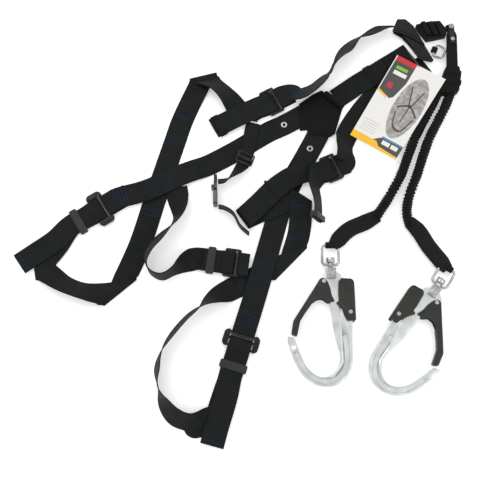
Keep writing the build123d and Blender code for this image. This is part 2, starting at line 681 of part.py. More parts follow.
parts["leg_strap_right"] = strap(
    [at((37, -104.5), 2.2), at((5, -121), GROUND), at((-25, -136), GROUND),
     at((-56, -154), 16, 46), at((-80, -172), 22, 82), at((-104, -192), 22.6, 90),
     at((-132, -226), 22.6, 90), at((-148, -254), 22.4, 80), at((-154, -284), 22, 72),
     at((-151, -316), 22.6, 86), at((-140, -344), 20, 58), at((-122, -366), 17, 44),
     at((-98, -376), 17, 44), at((-78, -376), 8, 16), at((-60, -372), GROUND),
     at((-45, -366), GROUND)],
    [at((-45, -366), SECOND), at((-38, -338), SECOND), at(along(RIGHT_BUCKLE, 82), SECOND),
     at(along(RIGHT_BUCKLE, 66), KEEPER_UNDER), at(along(RIGHT_BUCKLE, 34), KEEPER_UNDER),
     at(along(RIGHT_BUCKLE, 16), GROUND), at(along(RIGHT_BUCKLE, MIDDLE_BAR), GROUND)],
    [at(along(RIGHT_BUCKLE, MIDDLE_BAR), OVER_BAR), at(along(RIGHT_BUCKLE, 16), OVER_BAR),
     at(along(RIGHT_BUCKLE, 34), KEEPER_OVER), at(along(RIGHT_BUCKLE, 66), KEEPER_OVER),
     at((-31, -334), THIRD + 0.4), at((-46, -384), THIRD), at((-55, -417), THIRD)])

parts["back_strap"] = strap(
    [at((338, 354), SECOND), at((312, 336), 4.4), at((286, 319), 5.2), at((259, 301), 5.4),
     at((232, 284), 4.6), at((206, 266), 3.0), at((186, 252), 2.8)])

parts["chest_strap_left"] = strap(
    [at((21, 200), SECOND), at((16, 178), SECOND), at((12, 150), SECOND), at((7, 130), 5.5, 4),
     at((2, 114), 6.5, 12), at((-9, 98), 10, 40), at((-22, 84), 13.5, 68), at((-34, 76), 14.2, 86),
     at((-47, 74), 14.2, 90)], width=CHEST_WIDTH)

parts["chest_strap_right"] = strap(
    [at((-46, 24), 14.2, 90), at((-32, 20), 14.2, 90), at((-17, 9), 14.2, 90),
     at((-5, -14), 14.2, 90), at((12, -30), 14.2, 90)], width=CHEST_WIDTH)

parts["hip_strap_left"] = strap(
    [at((-128, 66), SECOND), at((-124, 45), 6, 12), at((-120, 24), 15, 38), at((-122, 4), 20, 62),
     at((-134, -16), 22, 76), at((-153, -36), 22.6, 88), at((-171, -56), 22.6, 90),
     at((-181, -80), 22.6, 90), at((-172, -104), 22.6, 88), at((-150, -114), 22.4, 84),
     at((-128, -103), 22, 80), at((-108, -86), 17, 48), at((-88, -76), 6, 6),
     at(along(HIP_ADJUSTER, 54), KEEPER_UNDER + HIP_LIFT),
     at(along(HIP_ADJUSTER, 27), KEEPER_UNDER + HIP_LIFT),
     at(along(HIP_ADJUSTER, 16), SECOND), at(along(HIP_ADJUSTER, MIDDLE_BAR), SECOND)],
    [at(along(HIP_ADJUSTER, MIDDLE_BAR), OVER_BAR + HIP_LIFT),
     at(along(HIP_ADJUSTER, 15), OVER_BAR + HIP_LIFT),
     at(along(HIP_ADJUSTER, 27), KEEPER_OVER + HIP_LIFT),
     at(along(HIP_ADJUSTER, 60), KEEPER_OVER + HIP_LIFT + 0.6)])

parts["hip_strap_right"] = strap(
    [at((10, -89), SECOND), at((0, -88), SECOND), at(along(HIP_ADJUSTER, FIXED_BAR), SECOND)],
    [at(along(HIP_ADJUSTER, FIXED_BAR), OVER_BAR + HIP_LIFT),
     at(along(HIP_ADJUSTER, -32), OVER_BAR + HIP_LIFT)])

for side, buckle in (("left", LEFT_BUCKLE), ("right", RIGHT_BUCKLE)):
    frame, bar = leg_buckle(buckle)
    parts[f"leg_buckle_frame_{side}"] = frame
    parts[f"leg_buckle_bar_{side}"] = bar
    parts[f"leg_keeper_{side}"] = keeper(buckle, 48)
parts["shoulder_adjuster_left"] = adjuster(LEFT_ADJUSTER)
parts["shoulder_adjuster_right"] = adjuster(RIGHT_ADJUSTER)
hip_place = Location((0, 0, HIP_LIFT))
parts["hip_adjuster"] = hip_place * adjuster(HIP_ADJUSTER)
parts["hip_keeper"] = hip_place * keeper(HIP_ADJUSTER, 40)

for side, hook in (("left", LEFT_HOOK), ("right", RIGHT_HOOK)):
    place = hook_place(hook)
    parts[f"hook_bail_{side}"] = place * hook_bail()
    parts[f"hook_swivel_{side}"] = place * hook_swivel()
    parts[f"hook_body_{side}"] = place * hook_body()
    parts[f"hook_gate_{side}"] = place * hook_gate()
    parts[f"hook_lock_{side}"] = place * hook_lock()
    parts[f"hook_pins_{side}"] = place * hook_pins()

parts["lanyard_leg_left"] = leg("lanyard_leg_left", LEFT_LEG)
parts["lanyard_leg_right"] = leg("lanyard_leg_right", RIGHT_LEG)
left_sleeve = [at((256, 5), 10), at((230, -7), 9), at((205, -18), 9), at((188, -32), 9),
               at((171, -52), HOOK_HEIGHT)]
right_sleeve = [at((317, -6), 10), at((334, -24), 9), at((350, -52), 9), at((366, -74), 9),
                at((382, -97), HOOK_HEIGHT)]
parts["lanyard_sleeve_left"] = sleeve(LEFT_HOOK, left_sleeve, 30)
parts["lanyard_sleeve_right"] = sleeve(RIGHT_HOOK, right_sleeve, 30)

parts["dorsal_pad"] = dorsal_pad()
parts["dorsal_plate"] = dorsal_plate()
parts["dorsal_ring"] = dorsal_ring()
parts["dorsal_ring_loop"] = ring_loop()
parts["absorber_pack"] = absorber_pack()
parts["shackle"] = shackle()
parts["shackle_pins"] = shackle_pins()
parts["lanyard_link"] = lanyard_link()
parts["lanyard_junction"] = lanyard_junction()
parts["junction_patch_back"] = junction_patch(0.2, 1.6)
parts["junction_patch_front"] = junction_patch(4.1, 5.7)
parts["patch_loop"] = patch_loop()
parts["strap_eyelets"] = eyelets()
parts["elastic_keepers"] = Compound([
    elastic_band((259, 301), (0.84, 0.54), 2.8, 8.0, 47),
    elastic_band((-46, 192), (0.87, 0.49), 6.6, 11.6, 47),
    elastic_band((57, 58), (0.8, 0.6), 6.6, 11.6, 49, length=5)])
parts["tail_keeper_right"] = tail_keeper()
parts["chest_adjuster"] = chest_adjuster()
parts["chest_buckle_tongue"] = chest_tongue()
parts["chest_buckle_body"] = chest_body()
parts["chest_buckle_lever"] = chest_lever()
parts["tag_card"] = tag_card()
parts["tag_string"] = tag_string()

os.makedirs("parts", exist_ok=True)
for name, shape in parts.items():
    shape.label = name
    export_step(shape, f"parts/{name}.step")
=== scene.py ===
"""A fall-arrest harness laid out on a floor. Plan points are in millimetres, as in the CAD part."""
from math import atan2, ceil, cos, degrees, hypot, pi, radians, sin, sqrt

import bmesh
import bpy
from mathutils import Matrix, Vector


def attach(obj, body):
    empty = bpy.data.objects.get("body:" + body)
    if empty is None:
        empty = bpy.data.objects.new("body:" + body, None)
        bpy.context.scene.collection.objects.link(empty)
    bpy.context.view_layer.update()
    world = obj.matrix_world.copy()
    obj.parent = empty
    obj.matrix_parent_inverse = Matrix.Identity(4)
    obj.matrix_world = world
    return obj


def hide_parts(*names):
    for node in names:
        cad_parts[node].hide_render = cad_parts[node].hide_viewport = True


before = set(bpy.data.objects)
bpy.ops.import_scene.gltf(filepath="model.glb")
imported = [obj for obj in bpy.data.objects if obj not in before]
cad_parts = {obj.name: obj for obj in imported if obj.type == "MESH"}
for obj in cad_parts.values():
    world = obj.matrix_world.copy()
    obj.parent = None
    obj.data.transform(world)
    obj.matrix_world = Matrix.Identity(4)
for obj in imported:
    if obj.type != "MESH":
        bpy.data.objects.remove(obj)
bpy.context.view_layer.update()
scene = bpy.context.scene
MM = 0.001

# ---- camera, lights and floor
camera = bpy.data.objects.new("camera", bpy.data.cameras.new("camera"))
camera.data.lens = 59.21
camera.data.sensor_width = 36
camera.location = (-0.005, -0.4262, 1.4489)
camera.rotation_euler = (radians(15), 0, 0)
scene.collection.objects.link(camera)
scene.camera = camera
scene.view_settings.view_transform = "Standard"

world = bpy.data.worlds.new("studio")
world.use_nodes = True
world.node_tree.nodes["Background"].inputs["Color"].default_value = (1, 1, 1, 1)
world.node_tree.nodes["Background"].inputs["Strength"].default_value = 0.95
scene.world = world


def area_light(name, place, target, size, power):
    light = bpy.data.lights.new(name, "AREA")
    light.shape = "DISK"
    light.size = size
    light.energy = power
    lamp = bpy.data.objects.new(name, light)
    lamp.location = place
    lamp.rotation_euler = (Vector(target) - Vector(place)).to_track_quat("-Z", "Y").to_euler()
    scene.collection.objects.link(lamp)


area_light("key", (-0.7, 0.9, 1.7), (0, 0, 0), 1.3, 8)
area_light("fill", (1.3, -0.6, 1.4), (0, 0, 0), 1.4, 5)


# ---- materials
class Nodes:
    """A material under construction."""

    def __init__(self, name, color, roughness, metallic=0.0, **sockets):
        self.material = bpy.data.materials.new(name)
        self.material.use_nodes = True
        self.tree = self.material.node_tree
        self.shader = self.tree.nodes["Principled BSDF"]
        self.set(self.shader, "Base Color", (*color, 1))
        self.set(self.shader, "Roughness", roughness)
        self.set(self.shader, "Metallic", metallic)
        for socket, value in sockets.items():
            self.set(self.shader, socket.replace("_", " "), value)
        self.last_bump = None

    def set(self, node, socket, value):
        if isinstance(value, bpy.types.NodeSocket):
            self.tree.links.new(value, node.inputs[socket])
        else:
            node.inputs[socket].default_value = value

    def add(self, kind, output=0, **sockets):
        node = self.tree.nodes.new("ShaderNode" + kind)
        for socket, value in sockets.items():
            if socket.startswith("node_"):
                setattr(node, socket[5:], value)
            else:
                self.set(node, socket.replace("_", " "), value)
        return node.outputs[output]

    def math(self, operation, a, b):
        node = self.tree.nodes.new("ShaderNodeMath")
        node.operation = operation
        self.set(node, 0, a)
        self.set(node, 1, b)
        return node.outputs[0]

    def place(self, scale, uv=False):
        """Texture coordinates in millimetres, along the webbing or through space."""
        coords = self.tree.nodes.new("ShaderNodeTexCoord")
        node = self.tree.nodes.new("ShaderNodeMapping")
        self.set(node, "Vector", coords.outputs["UV" if uv else "Object"])
        self.set(node, "Scale", tuple(1000 * s for s in scale))
        return node.outputs[0]

    def noise(self, scale, detail=3.0, stretch=(1, 1, 1)):
        return self.add("TexNoise", Vector=self.place(stretch), Scale=scale, Detail=detail)

    def ramp(self, value, low, high, first=0.3, last=0.7):
        """A colour that runs from low to high as the value does."""
        node = self.tree.nodes.new("ShaderNodeValToRGB")
        self.set(node, 0, value)
        node.color_ramp.elements[0].position = first
        node.color_ramp.elements[1].position = last
        node.color_ramp.elements[0].color = (*low, 1)
        node.color_ramp.elements[1].color = (*high, 1)
        return node.outputs[0]

    def span(self, value, low, high):
        node = self.tree.nodes.new("ShaderNodeMapRange")
        self.set(node, "Value", value)
        self.set(node, "To Min", low)
        self.set(node, "To Max", high)
        return node.outputs[0]

    def color(self, value):
        self.set(self.shader, "Base Color", value)

    def bump(self, height, depth, strength=1.0):
        node = self.tree.nodes.new("ShaderNodeBump")
        self.set(node, "Height", height)
        self.set(node, "Distance", depth * MM)
        self.set(node, "Strength", strength)
        if self.last_bump:
            self.set(node, "Normal", self.last_bump)
        self.last_bump = node.outputs[0]
        self.set(self.shader, "Normal", self.last_bump)


def wave(mat, period, direction, uv, distortion=0.0):
    return mat.add("TexWave", 1, node_wave_type="BANDS", node_bands_direction=direction,
                   Vector=mat.place((1, 1, 1), uv),
                   Scale=0.314 / period, Distortion=distortion)


def webbing(name, low, high, rib=1.9, pick=1.15):
    """Woven tape: ribs along its length, crossed by fine picks, with a slightly worn face."""
    mat = Nodes(name, high, 0.72, Sheen_Weight=0.02, Sheen_Roughness=0.45, Specular_IOR_Level=0.22)
    ribs = wave(mat, rib, "X", True)
    picks = wave(mat, pick, "DIAGONAL", True, distortion=0.4)
    cloth = mat.math("ADD", mat.math("MULTIPLY", ribs, 0.6), mat.math("MULTIPLY", picks, 0.4))
    tone = mat.math("ADD", mat.math("MULTIPLY", cloth, 0.55),
                    mat.math("MULTIPLY", mat.noise(0.03, 5.0), 0.6))
    mat.color(mat.ramp(tone, low, high))
    mat.set(mat.shader, "Roughness", mat.span(mat.noise(0.08, 4.0), 0.6, 0.85))
    mat.bump(cloth, 0.28)
    return mat.material


def woven(name, low, high):
    """Plain cloth that needs no UV map: two crossed sets of yarns in space."""
    period, depth = 1.4, 0.22
    mat = Nodes(name, high, 0.8, Sheen_Weight=0.02, Sheen_Roughness=0.5, Specular_IOR_Level=0.2)
    across = wave(mat, period, "X", False)
    along_y = wave(mat, period, "Y", False)
    cloth = mat.math("MULTIPLY", across, along_y)
    mat.color(mat.ramp(mat.math("ADD", cloth, mat.noise(0.05)), low, high, 0.35, 1.25))
    mat.bump(cloth, depth)
    mat.bump(mat.noise(0.12, 4.0), 0.5, 0.6)
    return mat.material


def moulded(name, low, high, roughness, grain=2.2, depth=0.05, metallic=0.0, wear=0.0):
    """Moulded plastic or a powder coat: fine grain, soft mottling and paler rubbed edges."""
    mat = Nodes(name, high, roughness, metallic, Specular_IOR_Level=0.3)
    tone = mat.ramp(mat.noise(0.06, 5.0), low, high)
    if wear:
        edge = mat.add("NewGeometry", "Pointiness")
        rubbed = mat.ramp(edge, (0, 0, 0), (1, 1, 1), 0.53, 0.60)
        node = mat.tree.nodes.new("ShaderNodeMix")
        node.data_type = "RGBA"
        mat.set(node, "Factor", mat.math("MULTIPLY", rubbed, wear))
        mat.set(node, 6, tone)
        node.inputs[7].default_value = (0.16, 0.16, 0.15, 1)
        tone = node.outputs[2]
    mat.color(tone)
    mat.set(mat.shader, "Roughness", mat.span(mat.noise(0.25, 6.0), roughness - 0.08, roughness + 0.1))
    mat.bump(mat.noise(grain, 2.0), depth)
    return mat.material


def metal(name, low, high, roughness, stretch=(1, 1, 1), depth=0.02):
    """Bare or plated metal with drawn streaks, small scratches and cloudy roughness."""
    mat = Nodes(name, high, roughness, 1.0)
    mat.color(mat.ramp(mat.noise(0.05, 6.0, stretch), low, high))
    mat.set(mat.shader, "Roughness", mat.span(mat.noise(0.5, 5.0, stretch), roughness * 0.7, roughness * 1.5))
    mat.bump(mat.noise(1.4, 4.0, stretch), depth)
    return mat.material


WEBBING = webbing("webbing", (0.0008, 0.0012, 0.0013), (0.0052, 0.0066, 0.0068))
ELASTIC = webbing("elastic_band", (0.0006, 0.0006, 0.0006), (0.0035, 0.0035, 0.0036), rib=1.2, pick=2.6)
COVER = webbing("elastic_cover", (0.0004, 0.0004, 0.0004), (0.0035, 0.0035, 0.0036), 1.0, 1.0)
SLEEVE = webbing("sleeve_webbing", (0.0012, 0.0012, 0.0012), (0.0060, 0.0060, 0.0058), 1.6, 1.0)
PAD = woven("pad_fabric", (0.0006, 0.0006, 0.0007), (0.0036, 0.0037, 0.0040))
THREAD = webbing("navy_thread", (0.006, 0.020, 0.065), (0.014, 0.042, 0.12), 0.5, 0.4)
BLACK_THREAD = webbing("black_thread", (0.001, 0.001, 0.001), (0.009, 0.009, 0.009), 0.5, 0.4)
KEEPER = moulded("keeper_plastic", (0.014, 0.016, 0.013), (0.022, 0.024, 0.020), 0.5)
LEVER = moulded("lever_plastic", (0.015, 0.017, 0.013), (0.024, 0.026, 0.021), 0.45, wear=0.3)
MOULDED = moulded("back_plate_plastic", (0.001, 0.001, 0.0012), (0.0045, 0.0045, 0.005), 0.42)
COATED = moulded("powder_coat", (0.0015, 0.0015, 0.0015), (0.004, 0.004, 0.004), 0.34, 1.2, 0.06, wear=0.3)
WORN = moulded("worn_coat", (0.012, 0.012, 0.012), (0.04, 0.04, 0.04), 0.36, 1.2, 0.05, 0.5, 0.6)
STEEL = metal("bright_steel", (0.28, 0.28, 0.28), (0.56, 0.56, 0.56), 0.2)
ALUMINIUM = metal("satin_aluminium", (0.52, 0.55, 0.54), (0.70, 0.72, 0.71), 0.3, (1, 1, 1), 0.03)
EYELET = metal("eyelet_metal", (0.34, 0.34, 0.34), (0.55, 0.55, 0.55), 0.2)
STRING = webbing("string", (0.16, 0.16, 0.16), (0.32, 0.32, 0.32), 0.6, 0.5)


def printed(name, low, high, scale=0.9):
    """A flat printed colour on coated card, with fine speckle."""
    mat = Nodes(name, high, 0.38)
    mat.color(mat.ramp(mat.noise(scale, 5.0), low, high, 0.42, 0.62))
    mat.bump(mat.noise(1.5, 3.0), 0.01)
    return mat.material


# ---- meshes
def finish_piece(name, bm, mats, body, nodes, smooth=True, sharp=38):
    """Turns a bmesh in millimetres into a piece that rides on a body."""
    bmesh.ops.remove_doubles(bm, verts=bm.verts, dist=0.001)
    bmesh.ops.recalc_face_normals(bm, faces=bm.faces)
    bmesh.ops.scale(bm, vec=(MM, MM, MM), verts=bm.verts)
    if smooth:
        for face in bm.faces:
            face.smooth = True
        for edge in bm.edges:
            edge.smooth = not (edge.is_manifold and degrees(edge.calc_face_angle(0)) > sharp)
    mesh = bpy.data.meshes.new(name)
    bm.to_mesh(mesh)
    bm.free()
    for mat in mats:
        mesh.materials.append(mat)
    piece = bpy.data.objects.new(name, mesh)
    scene.collection.objects.link(piece)
    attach(piece, body)
    if nodes:
        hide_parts(*nodes)
    return piece


def smooth_line(points, steps):
    """A Catmull-Rom line through plan points."""
    first = tuple(2 * p - q for p, q in zip(points[0], points[1]))
    last = tuple(2 * p - q for p, q in zip(points[-1], points[-2]))
    padded = [first, *points, last]
    line = []
    for i in range(len(points) - 1):
        for step in range(steps):
            line.append(tuple(catmull(*values, step / steps) for values in zip(*padded[i:i + 4])))
    return [*line, tuple(points[-1])]


def add_prism(bm, outline, low, high, bevel, segments=3, matrix=None):
    """Adds an upright prism on a plan outline, with its two rims rounded."""
    new = bmesh.new()
    base = [new.verts.new((x, y, low)) for x, y in outline]
    face = new.faces.new(base)
    extruded = bmesh.ops.extrude_face_region(new, geom=[face])["geom"]
    lifted = [item for item in extruded if isinstance(item, bmesh.types.BMVert)]
    bmesh.ops.translate(new, vec=(0, 0, high - low), verts=lifted)
    bmesh.ops.recalc_face_normals(new, faces=new.faces)
    rims = [edge for edge in new.edges if abs(edge.verts[0].co.z - edge.verts[1].co.z) < 1e-6]
    corners = [edge for edge in new.edges if edge not in rims
               and degrees(edge.calc_face_angle(0)) > 40]
    bmesh.ops.bevel(new, geom=rims + corners, offset=bevel, segments=segments, profile=0.5,
                    affect="EDGES", clamp_overlap=True)
    if matrix:
        bmesh.ops.transform(new, matrix=matrix, verts=new.verts)
    mesh = bpy.data.meshes.new("prism")
    new.to_mesh(mesh)
    new.free()
    bm.from_mesh(mesh)
    bpy.data.meshes.remove(mesh)


def add_tube(bm, points, radius, sides=16):
    """Adds a round tube through points, with closed ends."""
    points = [Vector(p) for p in points]
    rings = []
    for i, point in enumerate(points):
        tangent = (points[min(i + 1, len(points) - 1)] - points[max(i - 1, 0)]).normalized()
        side = tangent.orthogonal() if abs(tangent.z) > 0.9 else tangent.cross(Vector((0, 0, 1)))
        side.normalize()
        up = side.cross(tangent)
        size = radius(i / (len(points) - 1)) if callable(radius) else radius
        rings.append([bm.verts.new(point + (side * cos(a) + up * sin(a)) * size)
                      for a in (2 * pi * k / sides for k in range(sides))])
    for ring, after in zip(rings, rings[1:]):
        for k in range(sides):
            n = (k + 1) % sides
            bm.faces.new((ring[k], ring[n], after[n], after[k]))
    bm.faces.new(rings[0])
    bm.faces.new(rings[-1][::-1])


# ---- webbing
WEBBING_WIDTH = 43.0
CHEST_WIDTH = 27.0
WEBBING_THICK = 2.0
CURVE_STEPS = 9
HEM_STEPS = 9
GROUND = WEBBING_THICK / 2
LAYER = 2.6
SECOND = GROUND + LAYER
THIRD = GROUND + 2 * LAYER
FOURTH = GROUND + 3 * LAYER
OVER_BAR = 9.6
FIXED_BAR = -12.0
MIDDLE_BAR = -1.0
KEEPER_UNDER, KEEPER_OVER = 3.2, 5.8
LEFT_BUCKLE = ((-272, 22), (-0.85, -0.527))
RIGHT_BUCKLE = ((-3, -231), (-0.294, -0.956))
LEFT_ADJUSTER = ((58, 244), (-0.88, -0.475))
RIGHT_ADJUSTER = ((172, 104), (-0.92, -0.392))
HIP_ADJUSTER = ((-20, -85), (-0.99, 0.14))
HIP_LIFT = LAYER


def on(buckle, distance, height, roll=0):
    """A station of webbing at a distance along a buckle's strap, with its centre height and roll."""
    (x, y), (ux, uy) = buckle
    return x + distance * ux, y + distance * uy, height, roll


def threaded(buckle):
    """A leg strap's end: stations in under the middle bar, and back over it to the keeper."""
    places = [(66, KEEPER_UNDER, KEEPER_OVER), (34, KEEPER_UNDER, KEEPER_OVER), (16, GROUND, OVER_BAR),
              (MIDDLE_BAR, GROUND, OVER_BAR)]
    under = [on(buckle, run, low) for run, low, _ in places]
    return under, [on(buckle, run, high) for run, _, high in places[::-1]]


def unit(x, y):
    size = hypot(x, y)
    return x / size, y / size


def catmull(a, b, c, d, t):
    square, cube = t * t, t * t * t
    return 0.5 * (2 * b + (c - a) * t + (2 * a - 5 * b + 4 * c - d) * square
                  + (3 * b - a - 3 * c + d) * cube)


def crease(d1, d2, width):
    """Half of the folded edge where webbing turns from direction d1 to d2."""
    cx, cy = d1[0] + d2[0], d1[1] + d2[1]
    if hypot(cx, cy) < 0.05:
        cx, cy = -d1[1], d1[0]
    cx, cy = unit(cx, cy)
    half = width / 2 / abs(d1[0] * cy - d1[1] * cx)
    return cx * half, cy * half


def strap_sections(runs, width):
    """Slices (centre, half width, normal) of webbing made of runs joined by flat folds."""
    slices = []
    side = 1
    creases = []
    for before, after in zip(runs, runs[1:]):
        d1 = unit(before[-1][0] - before[-2][0], before[-1][1] - before[-2][1])
        d2 = unit(after[1][0] - after[0][0], after[1][1] - after[0][1])
        creases.append((d1, d2, crease(d1, d2, width)))
    for index, run in enumerate(runs):
        points = [(x, y, max(z, GROUND + width / 2 * abs(sin(radians(roll)))), roll)
                  for x, y, z, roll in smooth_line(run, CURVE_STEPS)]
        ends = []
        if index > 0:
            ends.append((points[0], creases[index - 1][1], creases[index - 1][2]))
        if index < len(creases):
            ends.append((points[-1], creases[index][0], creases[index][2]))
        for i, (x, y, z, roll) in enumerate(points):
            before, after = points[max(i - 1, 0)], points[min(i + 1, len(points) - 1)]
            tangent = Vector([q - p for p, q in zip(before[:3], after[:3])]).normalized()
            flat = Vector((-tangent.y, tangent.x, 0)).normalized() * side
            normal = tangent.cross(flat)
            angle = radians(roll)
            half = (flat * cos(angle) + normal * sin(angle)) * (width / 2)
            up = normal * cos(angle) - flat * sin(angle)
            for end, direction, (cx, cy) in ends:
                lean = cx * direction[0] + cy * direction[1]
                near = 1 - hypot(x - end[0], y - end[1]) / (1.25 * abs(lean) + 1)
                if near <= 0:
                    continue
                across = Vector((-direction[1], direction[0], 0)) * side
                facing = 1 if Vector((cx, cy, 0)).dot(across) > 0 else -1
                skew = Vector((*direction, 0)) * (near * lean * facing)
                half = across * (width / 2) + skew if near > 0.999 else half + skew
                up = Vector((0, 0, side)) if near > 0.999 else up
            slices.append((Vector((x, y, z)), half, up))
        if index == len(creases):
            break
        d1, _, (cx, cy) = creases[index]
        out = Vector((*unit(cy, -cx), 0))
        if out.x * d1[0] + out.y * d1[1] < 0:
            out = -out
        low, high = points[-1][2], runs[index + 1][0][2]
        rise = 1 if high > low else -1
        middle, radius = (low + high) / 2, abs(high - low) / 2
        half = slices[-1][1]
        for step in range(1, HEM_STEPS):
            angle = rise * (pi * step / HEM_STEPS - pi / 2)
            spoke = out * cos(angle) + Vector((0, 0, sin(angle)))
            centre = Vector((points[-1][0], points[-1][1], middle)) + spoke * radius
            slices.append((centre, half, spoke * (-side * rise)))
        side = -side
    return slices


TAPE = [1.0, 0.992, 0.965, 0.93, 0.7, 0.42, 0.14, -0.14, -0.42, -0.7, -0.93, -0.965, -0.992, -1.0]
STRIPS = {}


def edge_height(place, edge=0.06):
    """Half the tape's thickness at a place across it, from -1 to 1, with rounded selvedges."""
    over = max(0.0, (abs(place) - 1 + edge) / edge)
    return sqrt(max(0.0, 1 - over * over))


def add_skin(bm, layer, pairs):
    """Faces between pairs of rings of (vertex, u, v), with their UV map."""
    for ring, after in pairs:
        count = len(ring)
        for k in range(count):
            n = (k + 1) % count
            corners = (ring[k], ring[n], after[n], after[k])
            face = bm.faces.new([corner[0] for corner in corners])
            for loop, corner in zip(face.loops, corners):
                loop[layer].uv = (corner[1], corner[2])


def loft_tape(bm, slices, width, thick, edge=0.06, crown=None):
    """Adds a closed strip with rounded edges, and its UV map in metres."""
    layer = bm.loops.layers.uv.verify()
    run = 0.0
    rings = []
    for i, (centre, half, up) in enumerate(slices):
        if i:
            run += (centre - slices[i - 1][0]).length
        lift = crown(i / (len(slices) - 1)) if crown else 0.0
        top = []
        bottom = []
        for place in TAPE:
            body = thick / 2 * edge_height(place, edge) + lift * (1 - place * place)
            top.append((centre + half * place + up * body, place))
            bottom.append((centre + half * place - up * body, place))
        ring = top + bottom[-2:0:-1]
        rings.append([(bm.verts.new(point), place * width / 2 * MM, run * MM) for point, place in ring])
    add_skin(bm, layer, zip(rings, rings[1:]))
    for ring in (rings[0], rings[-1][::-1]):
        bm.faces.new([corner[0] for corner in ring])


def strap(name, *runs, width=WEBBING_WIDTH):
    """One length of webbing, for the CAD node of that name. A station may end with its roll."""
    runs = [[(*station, 0)[:4] for station in run] for run in runs]
    slices = strap_sections(runs, width)
    STRIPS[name] = slices
    bm = bmesh.new()
    loft_tape(bm, slices, width, WEBBING_THICK)
    finish_piece(name + "_webbing", bm, [WEBBING], "root", [name], sharp=70)


strap("seat_strap_left",
    [(122, 219, 2.8), (82, 196, 2.8), (48, 180, GROUND), (-11, 143, GROUND), (-63, 114, GROUND),
     (-96, 100, 5.4), (-125, 88, THIRD), (-184, 60, THIRD), on(LEFT_BUCKLE, -42, 7.4),
     on(LEFT_BUCKLE, -26, OVER_BAR), on(LEFT_BUCKLE, FIXED_BAR, OVER_BAR)],
    [on(LEFT_BUCKLE, FIXED_BAR, GROUND), on(LEFT_BUCKLE, -60, GROUND)])

strap("seat_strap_right",
    [(154, 186, 2.9), (143, 165, 2.9), (130, 141, 1.6), (119, 121, GROUND), (91, 70, GROUND),
     (71, 20, GROUND), (61, -14, GROUND), (52, -46, THIRD), (36, -102, THIRD), (22, -150, THIRD),
     on(RIGHT_BUCKLE, -42, 7.0), on(RIGHT_BUCKLE, -26, OVER_BAR),
     on(RIGHT_BUCKLE, FIXED_BAR, OVER_BAR)],
    [on(RIGHT_BUCKLE, FIXED_BAR, GROUND), on(RIGHT_BUCKLE, -60, GROUND)])

strap("front_strap_left",
    [(-57, 186, FOURTH), (-15, 209, FOURTH), (26, 229, FOURTH + 1),
     on(LEFT_ADJUSTER, 15, OVER_BAR + 0.6), on(LEFT_ADJUSTER, MIDDLE_BAR, OVER_BAR)],
    [on(LEFT_ADJUSTER, MIDDLE_BAR, GROUND), on(LEFT_ADJUSTER, 15, GROUND), (27, 228, 5.0),
     (1, 210, THIRD)],
    [(1, 210, SECOND), (-14, 236, 5, 8), (-34, 261, 13, 30), (-57, 282, 14, 32), (-78, 297, GROUND)],
    [(-78, 297, 9.0), (-91, 270, 5.0), (-106, 238, GROUND), (-121, 200, GROUND), (-131, 167, GROUND),
     (-145, 121, GROUND), (-158, 78, GROUND)])

strap("leg_strap_left",
    [(-158.2, 77.2, GROUND), (-172, 30, GROUND), (-192, -40, GROUND), (-211, -90, GROUND),
     (-221, -112, GROUND), (-229, -139, GROUND)],
    [(-229, -139, SECOND), (-262, -143, 6.6, 14), (-296, -139, 14.5, 36), (-331, -126, 14.5, 36),
     (-360, -107, 8.0, 17), (-375, -97, GROUND + 0.8, 2), (-390, -93, GROUND)],
    [(-390, -93, SECOND), (-374, -81, SECOND), (-350, -50, SECOND), *threaded(LEFT_BUCKLE)[0]],
    [*threaded(LEFT_BUCKLE)[1], (-355, -41, THIRD + 0.4),
     (-385, -63, THIRD + 0.4), (-419, -87, THIRD)])

strap("shoulder_strap_left",
    [(301, 402, 20, 60), (284, 397, 22, 74), (261, 391, 22, 82), (230, 376, 20, 64),
     (207, 352, 18, 50), (190, 328, 21, 72), (178, 309, 22.6, 90), (164, 293, 20, 62),
     (142, 272, 18, 52), (117, 259, 15, 38), (98, 261, 11, 12), on(LEFT_ADJUSTER, -26, OVER_BAR),
     on(LEFT_ADJUSTER, FIXED_BAR, OVER_BAR)],
    [on(LEFT_ADJUSTER, FIXED_BAR, GROUND), on(LEFT_ADJUSTER, -45, GROUND)])

strap("shoulder_strap_right",
    [(370, 329, GROUND), (340, 309, GROUND), (315, 292, GROUND), (274, 266, GROUND),
     (249, 242, GROUND), (222, 206, GROUND), (206, 178, GROUND), (199, 156, 13, -32),
     (199, 135, 15, -38), on(RIGHT_ADJUSTER, -28, 9.6, -8), on(RIGHT_ADJUSTER, FIXED_BAR, OVER_BAR)],
    [on(RIGHT_ADJUSTER, FIXED_BAR, GROUND), on(RIGHT_ADJUSTER, -34, GROUND)])

strap("front_strap_right",
    [(140, -5, 24.4, 66), (143, 18, 24.4, 66), (141, 42, 23, 62), (137, 66, 24, 54), (146, 89, 17, 26),
     on(RIGHT_ADJUSTER, 16, OVER_BAR + 1.4), on(RIGHT_ADJUSTER, MIDDLE_BAR, OVER_BAR)],
    [on(RIGHT_ADJUSTER, MIDDLE_BAR, GROUND), on(RIGHT_ADJUSTER, 18, GROUND), (126, 96, 8.6),
     (112, 93, FOURTH), (89, 82, FOURTH), (62, 62, FOURTH), (32, 31, FOURTH + 2), (5, 4, 14.0)],
    [(5, 4, GROUND), (22, 12, 2.8), (38, 19, SECOND), (60, 28, SECOND), (112, 50, SECOND)],
    [(112, 50, THIRD), (111, 22, THIRD), (110, -4, SECOND), (106, -30, GROUND), (98, -56, GROUND),
     (90, -84, GROUND)],
    [(90, -84, SECOND), (61, -93, SECOND), (38, -104, 2.4)])

